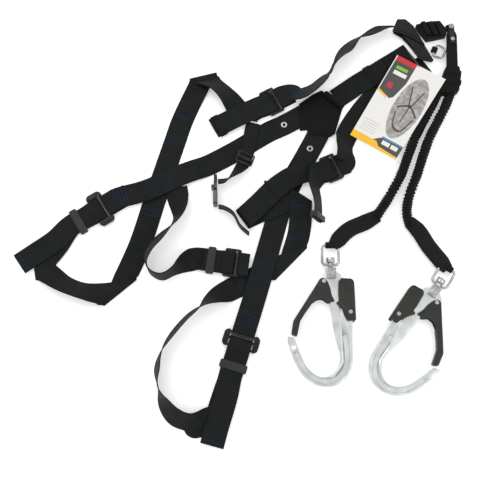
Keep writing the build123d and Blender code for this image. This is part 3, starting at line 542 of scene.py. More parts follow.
strap("leg_strap_right",
    [(37, -104.5, 2.2), (5, -121, GROUND), (-25, -136, GROUND), (-56, -154, 16, 46),
     (-80, -172, 22, 82), (-104, -192, 22.6, 90), (-132, -226, 22.6, 90), (-148, -254, 22.4, 80),
     (-154, -284, 22, 72), (-151, -316, 22.6, 86), (-140, -344, 20, 58), (-122, -366, 17, 44),
     (-98, -376, 17, 44), (-78, -376, 8, 16), (-60, -372, GROUND), (-45, -366, GROUND)],
    [(-45, -366, SECOND), (-38, -338, SECOND), on(RIGHT_BUCKLE, 82, SECOND),
     *threaded(RIGHT_BUCKLE)[0]],
    [*threaded(RIGHT_BUCKLE)[1], (-31, -334, THIRD + 0.4),
     (-46, -384, THIRD), (-55, -417, THIRD)])

strap("back_strap",
    [(338, 354, SECOND), (312, 336, 4.4), (286, 319, 5.2), (259, 301, 5.4), (232, 284, 4.6),
     (206, 266, 3.0), (186, 252, 2.8)])

strap("chest_strap_left",
    [(21, 200, SECOND), (16, 178, SECOND), (12, 150, SECOND), (7, 130, 5.5, 4), (2, 114, 6.5, 12),
     (-9, 98, 10, 40), (-22, 84, 13.5, 68), (-34, 76, 14.2, 86), (-47, 74, 14.2, 90)],
    width=CHEST_WIDTH)

strap("chest_strap_right",
    [(-46, 24, 14.2, 90), (-32, 20, 14.2, 90), (-17, 9, 14.2, 90), (-5, -14, 14.2, 90),
     (12, -30, 14.2, 90)],
    width=CHEST_WIDTH)

strap("hip_strap_left",
    [(-128, 66, SECOND), (-124, 45, 6, 12), (-120, 24, 15, 38), (-122, 4, 20, 62), (-134, -16, 22, 76),
     (-153, -36, 22.6, 88), (-171, -56, 22.6, 90), (-181, -80, 22.6, 90), (-172, -104, 22.6, 88),
     (-150, -114, 22.4, 84), (-128, -103, 22, 80), (-108, -86, 17, 48), (-88, -76, 6, 6),
     on(HIP_ADJUSTER, 54, KEEPER_UNDER + HIP_LIFT), on(HIP_ADJUSTER, 27, KEEPER_UNDER + HIP_LIFT),
     on(HIP_ADJUSTER, 16, SECOND), on(HIP_ADJUSTER, MIDDLE_BAR, SECOND)],
    [on(HIP_ADJUSTER, MIDDLE_BAR, OVER_BAR + HIP_LIFT), on(HIP_ADJUSTER, 15, OVER_BAR + HIP_LIFT),
     on(HIP_ADJUSTER, 27, KEEPER_OVER + HIP_LIFT), on(HIP_ADJUSTER, 60, KEEPER_OVER + HIP_LIFT + 0.6)])

strap("hip_strap_right",
    [(10, -89, SECOND), (0, -88, SECOND), on(HIP_ADJUSTER, FIXED_BAR, SECOND)],
    [on(HIP_ADJUSTER, FIXED_BAR, OVER_BAR + HIP_LIFT), on(HIP_ADJUSTER, -32, OVER_BAR + HIP_LIFT)])


# ---- stitching
def surface(strip, run, place, lift=1.1):
    """The point on a strip's upper face at a distance along it and a place across it."""
    total = 0.0
    for (a, half_a, up_a), (b, half_b, up_b) in zip(strip, strip[1:]):
        step = (b - a).length
        if total + step >= run:
            t = (run - total) / step if step else 0.0
            up = up_a.lerp(up_b, t).normalized()
            up = up if up.z >= 0 else -up
            return a.lerp(b, t) + half_a.lerp(half_b, t) * place + up * lift, up
        total += step
    return strip[-1][0] + strip[-1][1] * place, strip[-1][2]


def run_to(strip, x, y):
    """The distance along a strip to the highest slice near a plan point."""
    total = 0.0
    best = None
    for i, (centre, _, _) in enumerate(strip):
        if i:
            total += (centre - strip[i - 1][0]).length
        score = hypot(centre.x - x, centre.y - y) - min(centre.z, 30) * 0.3
        if best is None or score < best[0]:
            best = (score, total)
    return best[1]


def add_stitch(bm, start, end, up, radius=0.55):
    """One stitch of thread: a spindle between two points of the cloth."""
    side = (end - start).cross(up).normalized()
    rings = []
    for t, size, lift in ((0, 0.45, -0.3), (0.25, 1, 0), (0.75, 1, 0), (1, 0.45, -0.3)):
        middle = start.lerp(end, t) + up * lift * radius
        rings.append([bm.verts.new(middle + (side * cos(a) + up * sin(a)) * radius * size)
                      for a in (pi * k / 3 for k in range(6))])
    for ring, after in zip(rings, rings[1:]):
        for k in range(6):
            n = (k + 1) % 6
            bm.faces.new((ring[k], ring[n], after[n], after[k]))
    bm.faces.new(rings[0])
    bm.faces.new(rings[-1][::-1])


def seam(bm, strip, start, end, pitch=2.6, zigzag=0.0):
    """Stitches from one (run, side in mm) to another, straight or as a zigzag."""
    count = max(2, ceil(hypot(end[0] - start[0], end[1] - start[1]) / pitch))
    half = strip[0][1].length
    for i in range(count):
        ends = []
        for t in (i + 0.08, i + 0.92):
            run = start[0] + (end[0] - start[0]) * t / count
            across = start[1] + (end[1] - start[1]) * t / count
            sway = zigzag * (1 if (t > i + 0.5) == (i % 2 == 0) else -1)
            ends.append(surface(strip, run + sway, across / half))
        add_stitch(bm, ends[0][0], ends[1][0], ends[0][1])


def stitching(name, *marks, mat=None):
    """Bar tacks and boxed crosses sewn on one strap."""
    strip = STRIPS[name]
    half = strip[0][1].length
    bm = bmesh.new()
    for kind, x, y, *rest in marks:
        run = run_to(strip, x, y)
        reach = half - 4.5
        if kind == "bars":
            count, gap = rest
            for i in range(count):
                place = run + (i - (count - 1) / 2) * gap
                seam(bm, strip, (place, -reach), (place, reach), 1.25, 0.8)
        elif kind == "box":
            size = rest[0]
            corners = [(run - size, -reach), (run + size, -reach), (run + size, reach), (run - size, reach)]
            for a, b in zip(corners, corners[1:] + corners[:1]):
                seam(bm, strip, a, b)
            seam(bm, strip, corners[0], corners[2])
            seam(bm, strip, corners[1], corners[3])
    finish_piece(name + "_stitching", bm, [mat or THREAD], "root", [])


stitching("seat_strap_left", ("box", -159, 72, 17), ("bars", -230, 41, 4, 6.5))
stitching("seat_strap_right", ("box", 34, -99, 17), ("bars", 10, -190, 5, 7))
stitching("front_strap_left", ("bars", -114, 214, 2, 5), ("bars", -130, 162, 2, 5))
stitching("front_strap_right", ("bars", 111, 24, 2, 5), ("bars", 101, -36, 2, 5))
stitching("shoulder_strap_left", ("bars", 110, 257, 5, 5.5))
stitching("leg_strap_left", ("bars", -410, -81, 1, 5), ("bars", -176, 12, 2, 10))
stitching("leg_strap_right", ("bars", -53, -410, 1, 5), ("bars", 0, -124, 2, 9))
stitching("chest_strap_left", ("bars", 10, 143, 2, 5))
stitching("back_strap", ("bars", 300, 330, 3, 12), mat=BLACK_THREAD)
stitching("hip_strap_left", ("bars", -77, -77, 2, 2.5), mat=BLACK_THREAD)


# ---- carried-over metal and plastic
def refine(nodes, mat, width=0.6, segments=3, angle=32):
    """Rounds the edges of CAD nodes that stay, and gives them their material."""
    for name in nodes:
        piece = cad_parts[name]
        for slot in piece.material_slots:
            slot.material = mat
        weld = piece.modifiers.new("weld", "WELD")
        weld.merge_threshold = 0.00002
        bevel = piece.modifiers.new("bevel", "BEVEL")
        bevel.width = width * MM
        bevel.segments = segments
        bevel.limit_method = "ANGLE"
        bevel.angle_limit = radians(angle)
        bevel.harden_normals = False
        for polygon in piece.data.polygons:
            polygon.use_smooth = True


SIDES = ("left", "right")
refine([f"leg_buckle_bar_{side}" for side in SIDES], COATED)
refine(["leg_keeper_left", "leg_keeper_right", "hip_keeper", "tail_keeper_right"], KEEPER, 0.5)
refine(["chest_adjuster", "chest_buckle_tongue", "chest_buckle_body", "chest_buckle_lever"], WORN, 0.7)
refine([f"hook_bail_{side}" for side in SIDES], STEEL, 0.3, 2, 50)
refine([f"hook_swivel_{side}" for side in SIDES], STEEL, 0.6, 2, 50)
refine([f"hook_pins_{side}" for side in SIDES], EYELET, 0.4, 3, 50)
refine(["dorsal_ring", "shackle_pins"], STEEL, 0.4, 2, 50)
refine(["shackle"], COATED, 0.4, 2, 50)
refine(["strap_eyelets"], EYELET, 0.25, 2, 50)


def rounded(outline, steps=4):
    """A closed outline with each corner cut to a short arc."""
    points = []
    count = len(outline)
    for i, corner in enumerate(outline):
        before, after = Vector(outline[i - 1]), Vector(outline[(i + 1) % count])
        corner = Vector(corner)
        reach = min(2.2, (before - corner).length * 0.4, (after - corner).length * 0.4)
        start = corner + (before - corner).normalized() * reach
        end = corner + (after - corner).normalized() * reach
        for k in range(steps + 1):
            t = k / steps
            points.append(tuple(start * (1 - t) ** 2 + corner * 2 * t * (1 - t) + end * t * t))
    return points


def buckle(name, node, place, span, lift=0.0, middle=True):
    """A coated buckle: two rounded ears, the bars in the webbing and the raised bar above it."""
    (x, y), (ux, uy) = place
    matrix = Matrix.Translation((x, y, lift)) @ Matrix.Rotation(atan2(uy, ux), 4, "Z")
    half = span / 2
    shoulder = min(5.0, (half - 23) * 0.6)
    bm = bmesh.new()
    for side in (-1, 1):
        ear = [(-15.5, 23), (-15.5, half - shoulder), (-15.5 + shoulder, half), (15.5 - shoulder, half),
               (15.5, half - shoulder), (15.5, 23)]
        ear = [(a, b * side) for a, b in ear]
        add_prism(bm, rounded(ear), 3.0, 10.6, 1.2, 3, matrix)
        arch = [(-10.5, 23), (-10.5, half - 1), (-2.5, half - 1), (-2.5, 23)]
        add_prism(bm, rounded([(a, b * side) for a, b in arch]), 10.0, 13.2, 1.0, 3, matrix)
    edge = [(10.5, -24), (14.5, -24), (14.5, 24), (10.5, 24)]
    add_prism(bm, edge, 3.1, 7.8, 0.8, 3, matrix)
    bars = [(-12.0, 5.45, 2.4), (-8.5, 12.4, 1.9)] + ([(-1.0, 5.45, 2.4)] if middle else [])
    for run, height, radius in bars:
        add_tube(bm, [matrix @ Vector((run, across, height)) for across in (-24.5, -8, 8, 24.5)], radius)
    finish_piece(name, bm, [COATED], "root", [node])


buckle("left_shoulder_buckle", "shoulder_adjuster_left", LEFT_ADJUSTER, 54)
buckle("right_shoulder_buckle", "shoulder_adjuster_right", RIGHT_ADJUSTER, 54)
buckle("hip_buckle", "hip_adjuster", HIP_ADJUSTER, 54, HIP_LIFT)
buckle("left_leg_buckle", "leg_buckle_frame_left", LEFT_BUCKLE, 68, 0.0, False)
buckle("right_leg_buckle", "leg_buckle_frame_right", RIGHT_BUCKLE, 68, 0.0, False)


# ---- snap hooks
HOOK_HEIGHT = 11.0
HOOK_SCALE = 1.07
BAIL_BAR_Y = 54
HOOKS = {"left": ((164.2, -105.3), 0, 1), "right": ((354.2, -140.4), -34.2, -1)}
GATE_LOW, GATE_HIGH, LOCK_LOW, LOCK_HIGH = 5.4, 7.4, 7.8, 9.8
GATE = [(-19, -10), (-12, -9), (-6, -16), (-2, -28), (0, -40), (5, -50.5), (-7, -53),
        (-16, -46), (-25, -47), (-35, -54), (-46, -70), (-55, -84), (-61, -110.5),
        (-70.5, -107), (-67, -84)]
GATE_ARM = [(-35.5, -56), (-46, -70), (-55, -84), (-61, -110.5), (-70.5, -107), (-67, -84), (-47, -53)]
LOCK = [(13, -15), (17, -10), (35, -11), (39, -16), (40, -84), (26, -84), (14, -60), (12, -40)]
LOCK_WEB = [(37.2, -18), (39.2, -18), (39.6, -50), (37.2, -50)]
LOCK_NOSE = [(7, -53), (11, -50), (20, -51), (28, -60), (24, -72), (16, -64)]
BOW_OUT = [(34, -86), (33, -128), (32, -156), (22, -178), (5, -192), (-15, -195), (-34, -190),
           (-53, -175), (-66, -153), (-76, -122), (-77, -110)]
BOW_TIP = [(-77, -110), (-66, -114), (-64, -117)]
BOW_IN = [(-64, -117), (-58, -134), (-47, -159), (-33, -174), (-17, -179), (0, -172), (10, -156),
          (11, -139), (3, -106), (-2, -63)]
BOW_HEAD = [(-2, -63), (-4, -40), (-7, -27), (-18, -26), (-23, -15), (-18, -5), (-8, 3), (8, 3),
            (17, -3), (19, -9), (14, -17), (13, -36), (22, -52), (34, -62), (38, -74), (34, -86)]
GROOVE = [(-62, -142), (-51, -163), (-37, -178), (-16, -187), (6, -181), (20, -164), (23, -140),
          (21, -112)]


def sized(points):
    """Plan points of the drawn hook at its real size."""
    return [(x * HOOK_SCALE, y * HOOK_SCALE) for x, y in points]


def hook_matrix(side):
    (x, y), turn, flip = HOOKS[side]
    matrix = Matrix.Translation((x, y, HOOK_HEIGHT)) @ Matrix.Rotation(radians(turn), 4, "Z")
    return matrix @ Matrix.Rotation(pi, 4, "Y") if flip < 0 else matrix


def band(line, half):
    """The outline of a band round a plan line, with round ends."""
    line = [Vector(p) for p in smooth_line(line, 5)]
    left, right = [], []
    for i, point in enumerate(line):
        tangent = (line[min(i + 1, len(line) - 1)] - line[max(i - 1, 0)]).normalized()
        across = Vector((-tangent.y, tangent.x)) * half
        left.append(point + across)
        right.append(point - across)
    ends = []
    for point, tangent in ((line[-1], line[-1] - line[-2]), (line[0], line[0] - line[1])):
        angle = atan2(tangent.y, tangent.x)
        ends.append([point + Vector((cos(angle + a), sin(angle + a))) * half
                     for a in (pi / 2 - pi * k / 8 for k in range(1, 8))])
    return [tuple(p) for p in left + ends[0] + right[::-1] + ends[1]]


def carve(piece, cutter_mesh):
    """Cuts a mesh out of a piece and keeps the result as the piece's own mesh."""
    cutter = bpy.data.objects.new("cutter", cutter_mesh)
    scene.collection.objects.link(cutter)
    modifier = piece.modifiers.new("groove", "BOOLEAN")
    modifier.operation = "DIFFERENCE"
    modifier.object = cutter
    bpy.context.view_layer.update()
    mesh = bpy.data.meshes.new_from_object(piece.evaluated_get(bpy.context.evaluated_depsgraph_get()))
    piece.modifiers.remove(modifier)
    piece.data = mesh
    bpy.data.objects.remove(cutter)


def hook_pieces(side):
    matrix = hook_matrix(side)
    bm = bmesh.new()
    outline = smooth_line(BOW_OUT, 5)[:-1] + BOW_TIP[:-1] + smooth_line(BOW_IN, 5)[:-1] + BOW_HEAD[:-1]
    add_prism(bm, sized(outline), -5.0, 5.0, 2.0, 4, matrix)
    body = finish_piece(f"hook_{side}_forged_body", bm, [ALUMINIUM], f"hook_{side}",
                        [f"hook_body_{side}"], sharp=40)
    cutter = bmesh.new()
    for low, high in ((3.9, 7.0), (-7.0, -3.9)):
        add_prism(cutter, band(sized(GROOVE), 4.5), low, high, 0.4, 1, matrix)
    bmesh.ops.scale(cutter, vec=(MM, MM, MM), verts=cutter.verts)
    mesh = bpy.data.meshes.new("groove")
    cutter.to_mesh(mesh)
    cutter.free()
    carve(body, mesh)

    bm = bmesh.new()
    for low, high in ((GATE_LOW, GATE_HIGH), (-GATE_HIGH, -GATE_LOW)):
        add_prism(bm, rounded(sized(GATE)), low, high, 0.7, 3, matrix)
    add_prism(bm, rounded(sized(GATE_ARM)), -GATE_HIGH + 0.1, GATE_HIGH + 0.5, 1.4, 3, matrix)
    finish_piece(f"hook_{side}_gate_lever", bm, [LEVER], f"gate_{side}", [f"hook_gate_{side}"])
    bm = bmesh.new()
    for low, high in ((LOCK_LOW, LOCK_HIGH), (-LOCK_HIGH, -LOCK_LOW)):
        add_prism(bm, rounded(sized(LOCK)), low, high, 0.7, 3, matrix)
    add_prism(bm, rounded(sized(LOCK_WEB)), -LOCK_HIGH + 0.3, LOCK_HIGH - 0.3, 0.5, 2, matrix)
    for low, high in ((GATE_LOW, LOCK_HIGH - 0.5), (-LOCK_HIGH + 0.5, -GATE_LOW)):
        add_prism(bm, rounded(sized(LOCK_NOSE)), low, high, 0.6, 2, matrix)
    for k in range(4):
        x, y = 12 + k * 2.9, -54.5 - k * 3.3
        ridge = [(x, y), (x + 6.5, y + 4.2), (x + 7.3, y + 3.0), (x + 0.8, y - 1.2)]
        add_prism(bm, sized(ridge), LOCK_HIGH - 0.7, LOCK_HIGH + 0.4, 0.3, 2, matrix)
    finish_piece(f"hook_{side}_lock_lever", bm, [LEVER], f"lock_{side}", [f"hook_lock_{side}"])


for side in SIDES:
    hook_pieces(side)


# ---- elastic lanyard
LEG_HEIGHT = 10
LEFT_LEG = [(389, 264), (372, 229), (352, 195), (335, 162), (321, 128), (309, 95), (292, 63),
            (272, 31), (252, 2)]
RIGHT_LEG = [(415, 266), (400, 229), (380, 195), (363, 162), (350, 128), (339, 95), (325, 63),
             (314, 32), (312, 7), (318, -16)]
RUN_STEP = 0.7
LEG_SIDES = 36
VALLEY_RADIUS, RUFFLE_HEIGHT, RUFFLE_PITCH = 7.35, 2.4, 6.4
COVER_UV_RADIUS = 9


def route(points):
    """The smooth line of a cord, in millimetres, read from its NURBS spline."""
    curve = bpy.data.curves.new("route", "CURVE")
    curve.dimensions = "3D"
    spline = curve.splines.new("NURBS")
    spline.points.add(len(points) - 1)
    for control, point in zip(spline.points, points):
        control.co = (*point, 1)
    spline.order_u = 3
    spline.use_endpoint_u = True
    spline.resolution_u = 16
    mesh = bpy.data.meshes.new_from_object(bpy.data.objects.new("route", curve))
    return [vertex.co / MM for vertex in mesh.vertices]


def resample(points, pitch):
    """Points a fixed distance apart along a line."""
    line = [points[0]]
    left = pitch
    for a, b in zip(points, points[1:]):
        step = (b - a).length
        while left <= step:
            line.append(a.lerp(b, left / step))
            left += pitch
        left -= step
    return line


def elastic_leg(side, plan):
    """A gathered tube: the cover ruffles in uneven rings round the rubber cords inside."""
    points = [(x / 1000, y / 1000, LEG_HEIGHT / 1000) for x, y in plan]
    line = resample(route(points), RUN_STEP)
    bm = bmesh.new()
    layer = bm.loops.layers.uv.verify()
    rings = []
    for i, point in enumerate(line):
        tangent = (line[min(i + 1, len(line) - 1)] - line[max(i - 1, 0)]).normalized()
        across = tangent.cross(Vector((0, 0, 1))).normalized()
        up = across.cross(tangent)
        run = i * RUN_STEP
        ring = []
        for k in range(LEG_SIDES):
            a = 2 * pi * k / LEG_SIDES
            lean = 0.22 * sin(a + run / 23) + 0.12 * sin(2 * a - run / 9) + 0.10 * sin(3 * a + run / 5.1)
            phase = run / RUFFLE_PITCH + 0.30 * sin(run / 14.5) + lean
            gather = (0.5 + 0.5 * cos(2 * pi * phase)) ** 0.7
            size = VALLEY_RADIUS + RUFFLE_HEIGHT * gather + 0.22 * sin(7 * a + run * 0.9) * gather
            spot = point + (across * cos(a) + up * sin(a)) * size
            ring.append((bm.verts.new(spot), a * COVER_UV_RADIUS * MM, run * MM))
        rings.append(ring)
    for ring, after in zip(rings, rings[1:]):
        for k in range(LEG_SIDES):
            n = (k + 1) % LEG_SIDES
            corners = (ring[k], ring[n], after[n], after[k])
            face = bm.faces.new([corner[0] for corner in corners])
            wrap = (k, k + 1, k + 1, k)
            for loop, corner, turn in zip(face.loops, corners, wrap):
                loop[layer].uv = (2 * pi * turn / LEG_SIDES * COVER_UV_RADIUS * MM, corner[2])
    for ring in (rings[0], rings[-1][::-1]):
        bm.faces.new([corner[0] for corner in ring])
    piece = finish_piece(f"lanyard_{side}_elastic_leg", bm, [COVER], "root", [f"lanyard_leg_{side}"],
                         sharp=80)


elastic_leg("left", LEFT_LEG)
elastic_leg("right", RIGHT_LEG)


def sleeve(side, stations):
    """The flat sewn end of a leg, folded to an eye round the bail's bar."""
    bm = bmesh.new()
    points = [Vector(point) for point in smooth_line(stations, 12)]
    mouth, middle = 12.5, 15.5      # half widths
    taper = 0.86                    # where it narrows to its eye
    tape = []
    for i, point in enumerate(points):
        tangent = (points[min(i + 1, len(points) - 1)] - points[max(i - 1, 0)]).normalized()
        flat = Vector((-tangent.y, tangent.x, 0)).normalized()
        t = i / (len(points) - 1)
        width = mouth + (middle - mouth) * min(1, t * 5)
        if t > taper:
            width = middle - 4.5 * (t - taper) / 0.14
        tape.append((point, flat * width, tangent.cross(flat)))
    loft_tape(bm, tape, 30, 8.6, 0.42, lambda t: 0.5 * sin(t * 23) + (0.8 if t > 0.6 else 0.0))
    matrix = hook_matrix(side)
    add_tube(bm, [matrix @ Vector((x, BAIL_BAR_Y, 0)) for x in (-8.6, -8.2, -7, 0, 7, 8.2, 8.6)],
             lambda t: 6.1 if 0.1 < t < 0.9 else 5.2, 24)
    finish_piece(f"lanyard_{side}_sewn_sleeve", bm, [SLEEVE], "root", [f"lanyard_sleeve_{side}"])


sleeve("left", [(257, 7, 10), (230, -7, 9), (205, -18, 9), (188, -32, 9), (170, -53, HOOK_HEIGHT)])
sleeve("right", [(316, -4, 10), (334, -24, 9), (350, -52, 9), (366, -74, 9), (383, -98, HOOK_HEIGHT)])


# ---- back plate, pack and junction
def moulding(name, nodes, mats, prisms, matrix=None):
    bm = bmesh.new()
    for outline, low, high, bevel in prisms:
        add_prism(bm, rounded(outline), low, high, bevel, 4, matrix)
    return finish_piece(name, bm, mats, "root", nodes)


moulding("back_plate_cover", ["dorsal_plate"], [MOULDED], [
    ([(304, 398), (315, 424), (332, 424), (347, 409), (369, 364), (341, 382), (322, 392)], 8.3, 13.4, 1.6),
    ([(309, 399), (317, 419), (330, 419), (342, 407), (358, 377), (342, 387), (324, 397)], 13.0, 14.4, 0.6),
    ([(322, 392), (341, 382), (369, 364), (384, 333), (380, 329), (356, 335), (340, 366)], 8.3, 11.2, 1.4),
    ([(345, 366), (364, 352), (377, 335), (359, 340)], 11.0, 12.0, 0.5)])
back_pad = moulding("back_pad_cloth", ["dorsal_pad"], [PAD], [
    ([(306, 396), (318, 421), (334, 420), (349, 405), (371, 358), (382, 334), (356, 338), (336, 369),
      (322, 386)], 5.2, 8.2, 1.2)])
moulding("ring_loop_webbing", ["dorsal_ring_loop"], [PAD],
         [([(-7, -6), (5, -6), (5, 6), (-7, 6)], -4.5, 4.5, 2.2)],
         matrix=Matrix.Translation((388, 356, 9)) @ Matrix.Rotation(atan2(-0.415, 0.91), 4, "Z"))
PACK = [(352, 411), (378, 418), (401, 420), (414, 400), (412, 386), (373, 377), (360, 395)]
moulding("absorber_cover", ["absorber_pack"], [SLEEVE], [
    (PACK, 1.0, 15.4, 3.6),
    ([(408, 399), (414, 411), (427, 412), (429, 406), (427, 400)], 5.4, 13.6, 2.6),
    *[([(x - 8, 413), (x + 1, 416), (x + 13, 387), (x + 4, 384)], 12, 21.8, 3.2) for x in (368, 382, 396)]])
moulding("link_cover", ["lanyard_link"], [SLEEVE], [
    ([(416, 397), (431, 397), (434, 388), (431, 315), (409, 315), (414, 388)], 5.4, 13.6, 2.4),
    ([(411.5, 352), (432.5, 352), (432, 340), (411, 340)], 5.1, 14.0, 1.4)])
moulding("junction_cover", ["lanyard_junction"], [COVER], [
    ([(406, 316), (432, 316), (435, 298), (428, 262), (405, 257), (382, 262), (381, 276), (396, 291)],
     0.4, 20.6, 4.6),
    ([(402, 306), (436, 304), (434, 296), (399, 298)], 2, 21.6, 3.0),
    ([(391, 288), (434, 284), (432, 274), (386, 279)], 1.5, 21.4, 3.0)])
PATCH = [(112, 240), (140, 261), (158, 270), (199, 233), (182, 178), (172, 171), (130, 176), (127, 186),
         (113, 184)]
INNER = [(119, 237), (143, 254), (157, 261), (191, 230), (177, 184), (170, 178), (136, 182), (132, 192),
         (119, 190)]
moulding("junction_back_leaf", ["junction_patch_back"], [PAD], [(PATCH, 0.2, 1.6, 0.5)])
moulding("junction_front_leaf", ["junction_patch_front"], [PAD],
         [(PATCH, 4.1, 5.7, 0.6), (INNER, 5.4, 6.6, 0.5)])
bm = bmesh.new()
ends = [Vector((163, 262, 11.6)), Vector((199, 230, 11.6))]
add_tube(bm, [ends[0].lerp(ends[1], t) for t in (0, 0.02, 0.06, 0.5, 0.94, 0.98, 1)],
         lambda t: 5.6 * (0.55 if t in (0, 1) else 0.92 if t < 0.2 or t > 0.8 else 1), 24)
finish_piece("junction_rolled_loop", bm, [PAD], "root", ["patch_loop"])


def elastic_ring(bm, middle, run, low, high, span, length=15):
    """A flat elastic ring round webbing, slightly bowed over its edges."""
    matrix = Matrix.Translation((*middle, (low + high) / 2))
    matrix = matrix @ Matrix.Rotation(atan2(run[1], run[0]), 4, "Z")
    wide, tall = span / 2 - 0.6, (high - low) / 2 - 0.5
    layer = bm.loops.layers.uv.verify()
    loop = []
    for k in range(48):
        a = 2 * pi * k / 48
        y = wide * (abs(cos(a)) ** 0.35) * (1 if cos(a) >= 0 else -1)
        z = tall * (abs(sin(a)) ** 0.8) * (1 if sin(a) >= 0 else -1)
        loop.append((y, z))
    rings = []
    for part, out in ((-1, 0.0), (-0.97, 0.5), (-0.4, 0.6), (0, 0.5), (0.4, 0.6), (0.97, 0.5), (1, 0.0),
                      (0.97, -0.5), (-0.97, -0.5)):
        x = part * length / 2
        ring = []
        for k, (y, z) in enumerate(loop):
            outward = Vector((y / wide / wide, z / tall / tall)).normalized() * out
            spot = matrix @ Vector((x, y + outward.x, z + outward.y))
            ring.append((bm.verts.new(spot), k * 2.1 * MM, x * MM))
        rings.append(ring)
    add_skin(bm, layer, zip(rings, rings[1:] + rings[:1]))


bm = bmesh.new()
elastic_ring(bm, (259, 301), (0.84, 0.54), 2.8, 8.0, 47)
elastic_ring(bm, (-46, 192), (0.87, 0.49), 6.6, 11.6, 47)
elastic_ring(bm, (57, 58), (0.8, 0.6), 6.6, 11.6, 49, 5)
finish_piece("keeper_elastic_bands", bm, [ELASTIC], "root", ["elastic_keepers"])


# ---- tag
TAG = [(310, 341), (401, 283), (296, 119), (211, 174)]
CARD_CORNER, CARD_RISE_X, CARD_RISE_Y = 17, 0.102, 0.005
CARD = [printed("card_white", (0.70, 0.69, 0.66), (0.80, 0.79, 0.76)),
        printed("card_red", (0.50, 0.012, 0.022), (0.60, 0.02, 0.03)),
        printed("card_dark", (0.045, 0.045, 0.043), (0.07, 0.07, 0.067)),
        printed("card_green", (0.16, 0.42, 0.03), (0.22, 0.52, 0.05)),
        printed("card_yellow", (0.80, 0.42, 0.01), (0.88, 0.50, 0.02)),
        printed("card_blue", (0.06, 0.24, 0.42), (0.09, 0.30, 0.5)),
        printed("card_grey", (0.26, 0.25, 0.235), (0.42, 0.40, 0.38), 0.12),
        printed("card_line", (0.50, 0.49, 0.47), (0.56, 0.55, 0.53))]
WHITE, RED, DARK, GREEN, YELLOW, BLUE, GREY, LINE = range(8)


def card_point(u, v, lift):
    """A point of the leaning card: u across it and v down it, from 0 to 1."""
    top = Vector(TAG[0]).lerp(Vector(TAG[1]), u)
    bottom = Vector(TAG[3]).lerp(Vector(TAG[2]), u)
    x, y = top.lerp(bottom, v)
    lean = (x - TAG[0][0]) * CARD_RISE_X + (y - TAG[0][1]) * CARD_RISE_Y
    return Vector((x, y, CARD_CORNER + lean + lift))


def add_panel(bm, outline, low, high, index):
    """A printed panel: a thin plate that follows the card."""
    first = len(bm.faces)
    lower = [bm.verts.new(card_point(u, v, low)) for u, v in outline]
    upper = [bm.verts.new(card_point(u, v, high)) for u, v in outline]
    bm.faces.new(lower[::-1])
    bm.faces.new(upper)
    for k in range(len(outline)):
        n = (k + 1) % len(outline)
        bm.faces.new((lower[k], lower[n], upper[n], upper[k]))
    bm.faces.ensure_lookup_table()
    for face in bm.faces[first:]:
        face.material_index = index


def add_label(bm, first, last, low, high, index):
    """A rectangular panel between two corners."""
    (a, b), (c, d) = first, last
    add_panel(bm, [(a, b), (c, b), (c, d), (a, d)], low, high, index)


def dotted(a, b, count):
    return [(a[0] + (b[0] - a[0]) * k / count, a[1] + (b[1] - a[1]) * k / count) for k in range(count)]


bm = bmesh.new()
CORNERS = [(0, 0), (1, 0), (1, 1), (0, 1)]
edge_points = [p for a, b in zip(CORNERS, CORNERS[1:] + CORNERS[:1]) for p in dotted(a, b, 8)]
add_panel(bm, edge_points, 0, 0.6, WHITE)
finish_piece("tag_card_sheet", bm, CARD[:1], "tag", ["tag_card"], smooth=False)
bm = bmesh.new()
add_label(bm, (0.02, 0.0), (0.42, 0.055), 0.4, 0.9, RED)
add_panel(bm, [(0.02, 0.055), (0.42, 0.055), (0.42, 0.24), (0.34, 0.43), (0.28, 0.46), (0.02, 0.41)],
          0.4, 0.9, DARK)
add_label(bm, (0.10, 0.10), (0.33, 0.135), 0.7, 1.0, GREEN)
add_label(bm, (0.10, 0.155), (0.36, 0.20), 0.7, 1.0, WHITE)
add_label(bm, (0.12, 0.30), (0.22, 0.36), 0.7, 1.0, RED)
add_panel(bm, [(0.0, 0.41), (0.20, 0.445), (0.24, 0.475), (0.0, 0.43)], 0.4, 1.0, YELLOW)
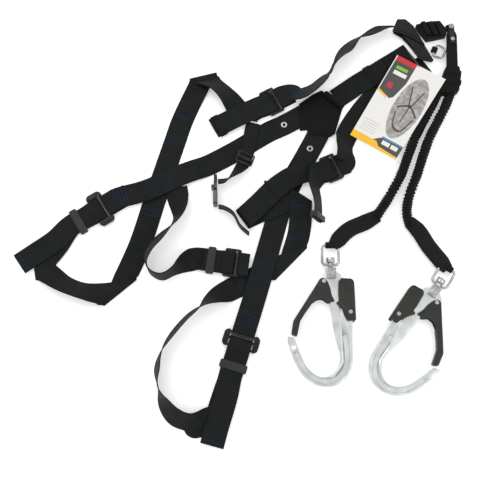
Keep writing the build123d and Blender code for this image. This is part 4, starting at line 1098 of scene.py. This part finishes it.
add_panel(bm, [(0.0, 0.925), (0.50, 0.925), (0.58, 0.965), (1.0, 0.98), (1.0, 1.0), (0.0, 1.0)],
          0.4, 0.9, YELLOW)
add_panel(bm, [(0.42, 0.925), (0.56, 0.865), (1.0, 0.865), (1.0, 0.98), (0.58, 0.965), (0.50, 0.925)],
          0.4, 1.0, DARK)
add_label(bm, (0.56, 0.85), (1.0, 0.868), 0.4, 1.1, BLUE)
add_label(bm, (0.60, 0.885), (0.76, 0.93), 0.8, 1.1, WHITE)
add_label(bm, (0.79, 0.885), (0.93, 0.93), 0.8, 1.1, WHITE)
for row in range(5):
    v = 0.76 + row * 0.028
    add_label(bm, (0.07, v), (0.40, v + 0.007), 0.4, 0.75, LINE)
OVAL = [(0.68 + 0.27 * cos(2 * pi * k / 36), 0.47 + 0.36 * sin(2 * pi * k / 36)) for k in range(36)]
add_panel(bm, OVAL, 0.4, 0.8, GREY)
for shape in ([(0.56, 0.24), (0.70, 0.44), (0.80, 0.24)], [(0.50, 0.50), (0.70, 0.44), (0.90, 0.52)],
              [(0.52, 0.56), (0.60, 0.70), (0.78, 0.72), (0.88, 0.56)], [(0.70, 0.44), (0.69, 0.62)]):
    add_panel(bm, [tuple(p) for p in band(shape, 0.011)], 0.7, 1.05, DARK)
finish_piece("tag_printed_panels", bm, CARD, "tag", [], smooth=False)

bm = bmesh.new()
CURL = [(331, 352, 13.6), (333, 346, 19), (340, 330, 23.4), (347.5, 318.5, 23.2), (351, 312, 22.4)]
add_tube(bm, smooth_line(CURL, 8), 0.55, 10)
finish_piece("tag_thin_string", bm, [STRING], "root", ["tag_string"])


# ---- floor and finish
bpy.ops.mesh.primitive_plane_add(size=8, location=(0, 0, -0.0003))
floor = bpy.context.object
floor.name = "studio_floor"
paper = Nodes("studio_paper", (0.93, 0.93, 0.93), 0.9)
paper.color(paper.ramp(paper.noise(0.004), (0.92, 0.92, 0.92), (0.95, 0.95, 0.95)))
paper.set(paper.shader, "Emission Color", (1, 1, 1, 1))
paper.set(paper.shader, "Emission Strength", 0.3)
floor.data.materials.append(paper.material)
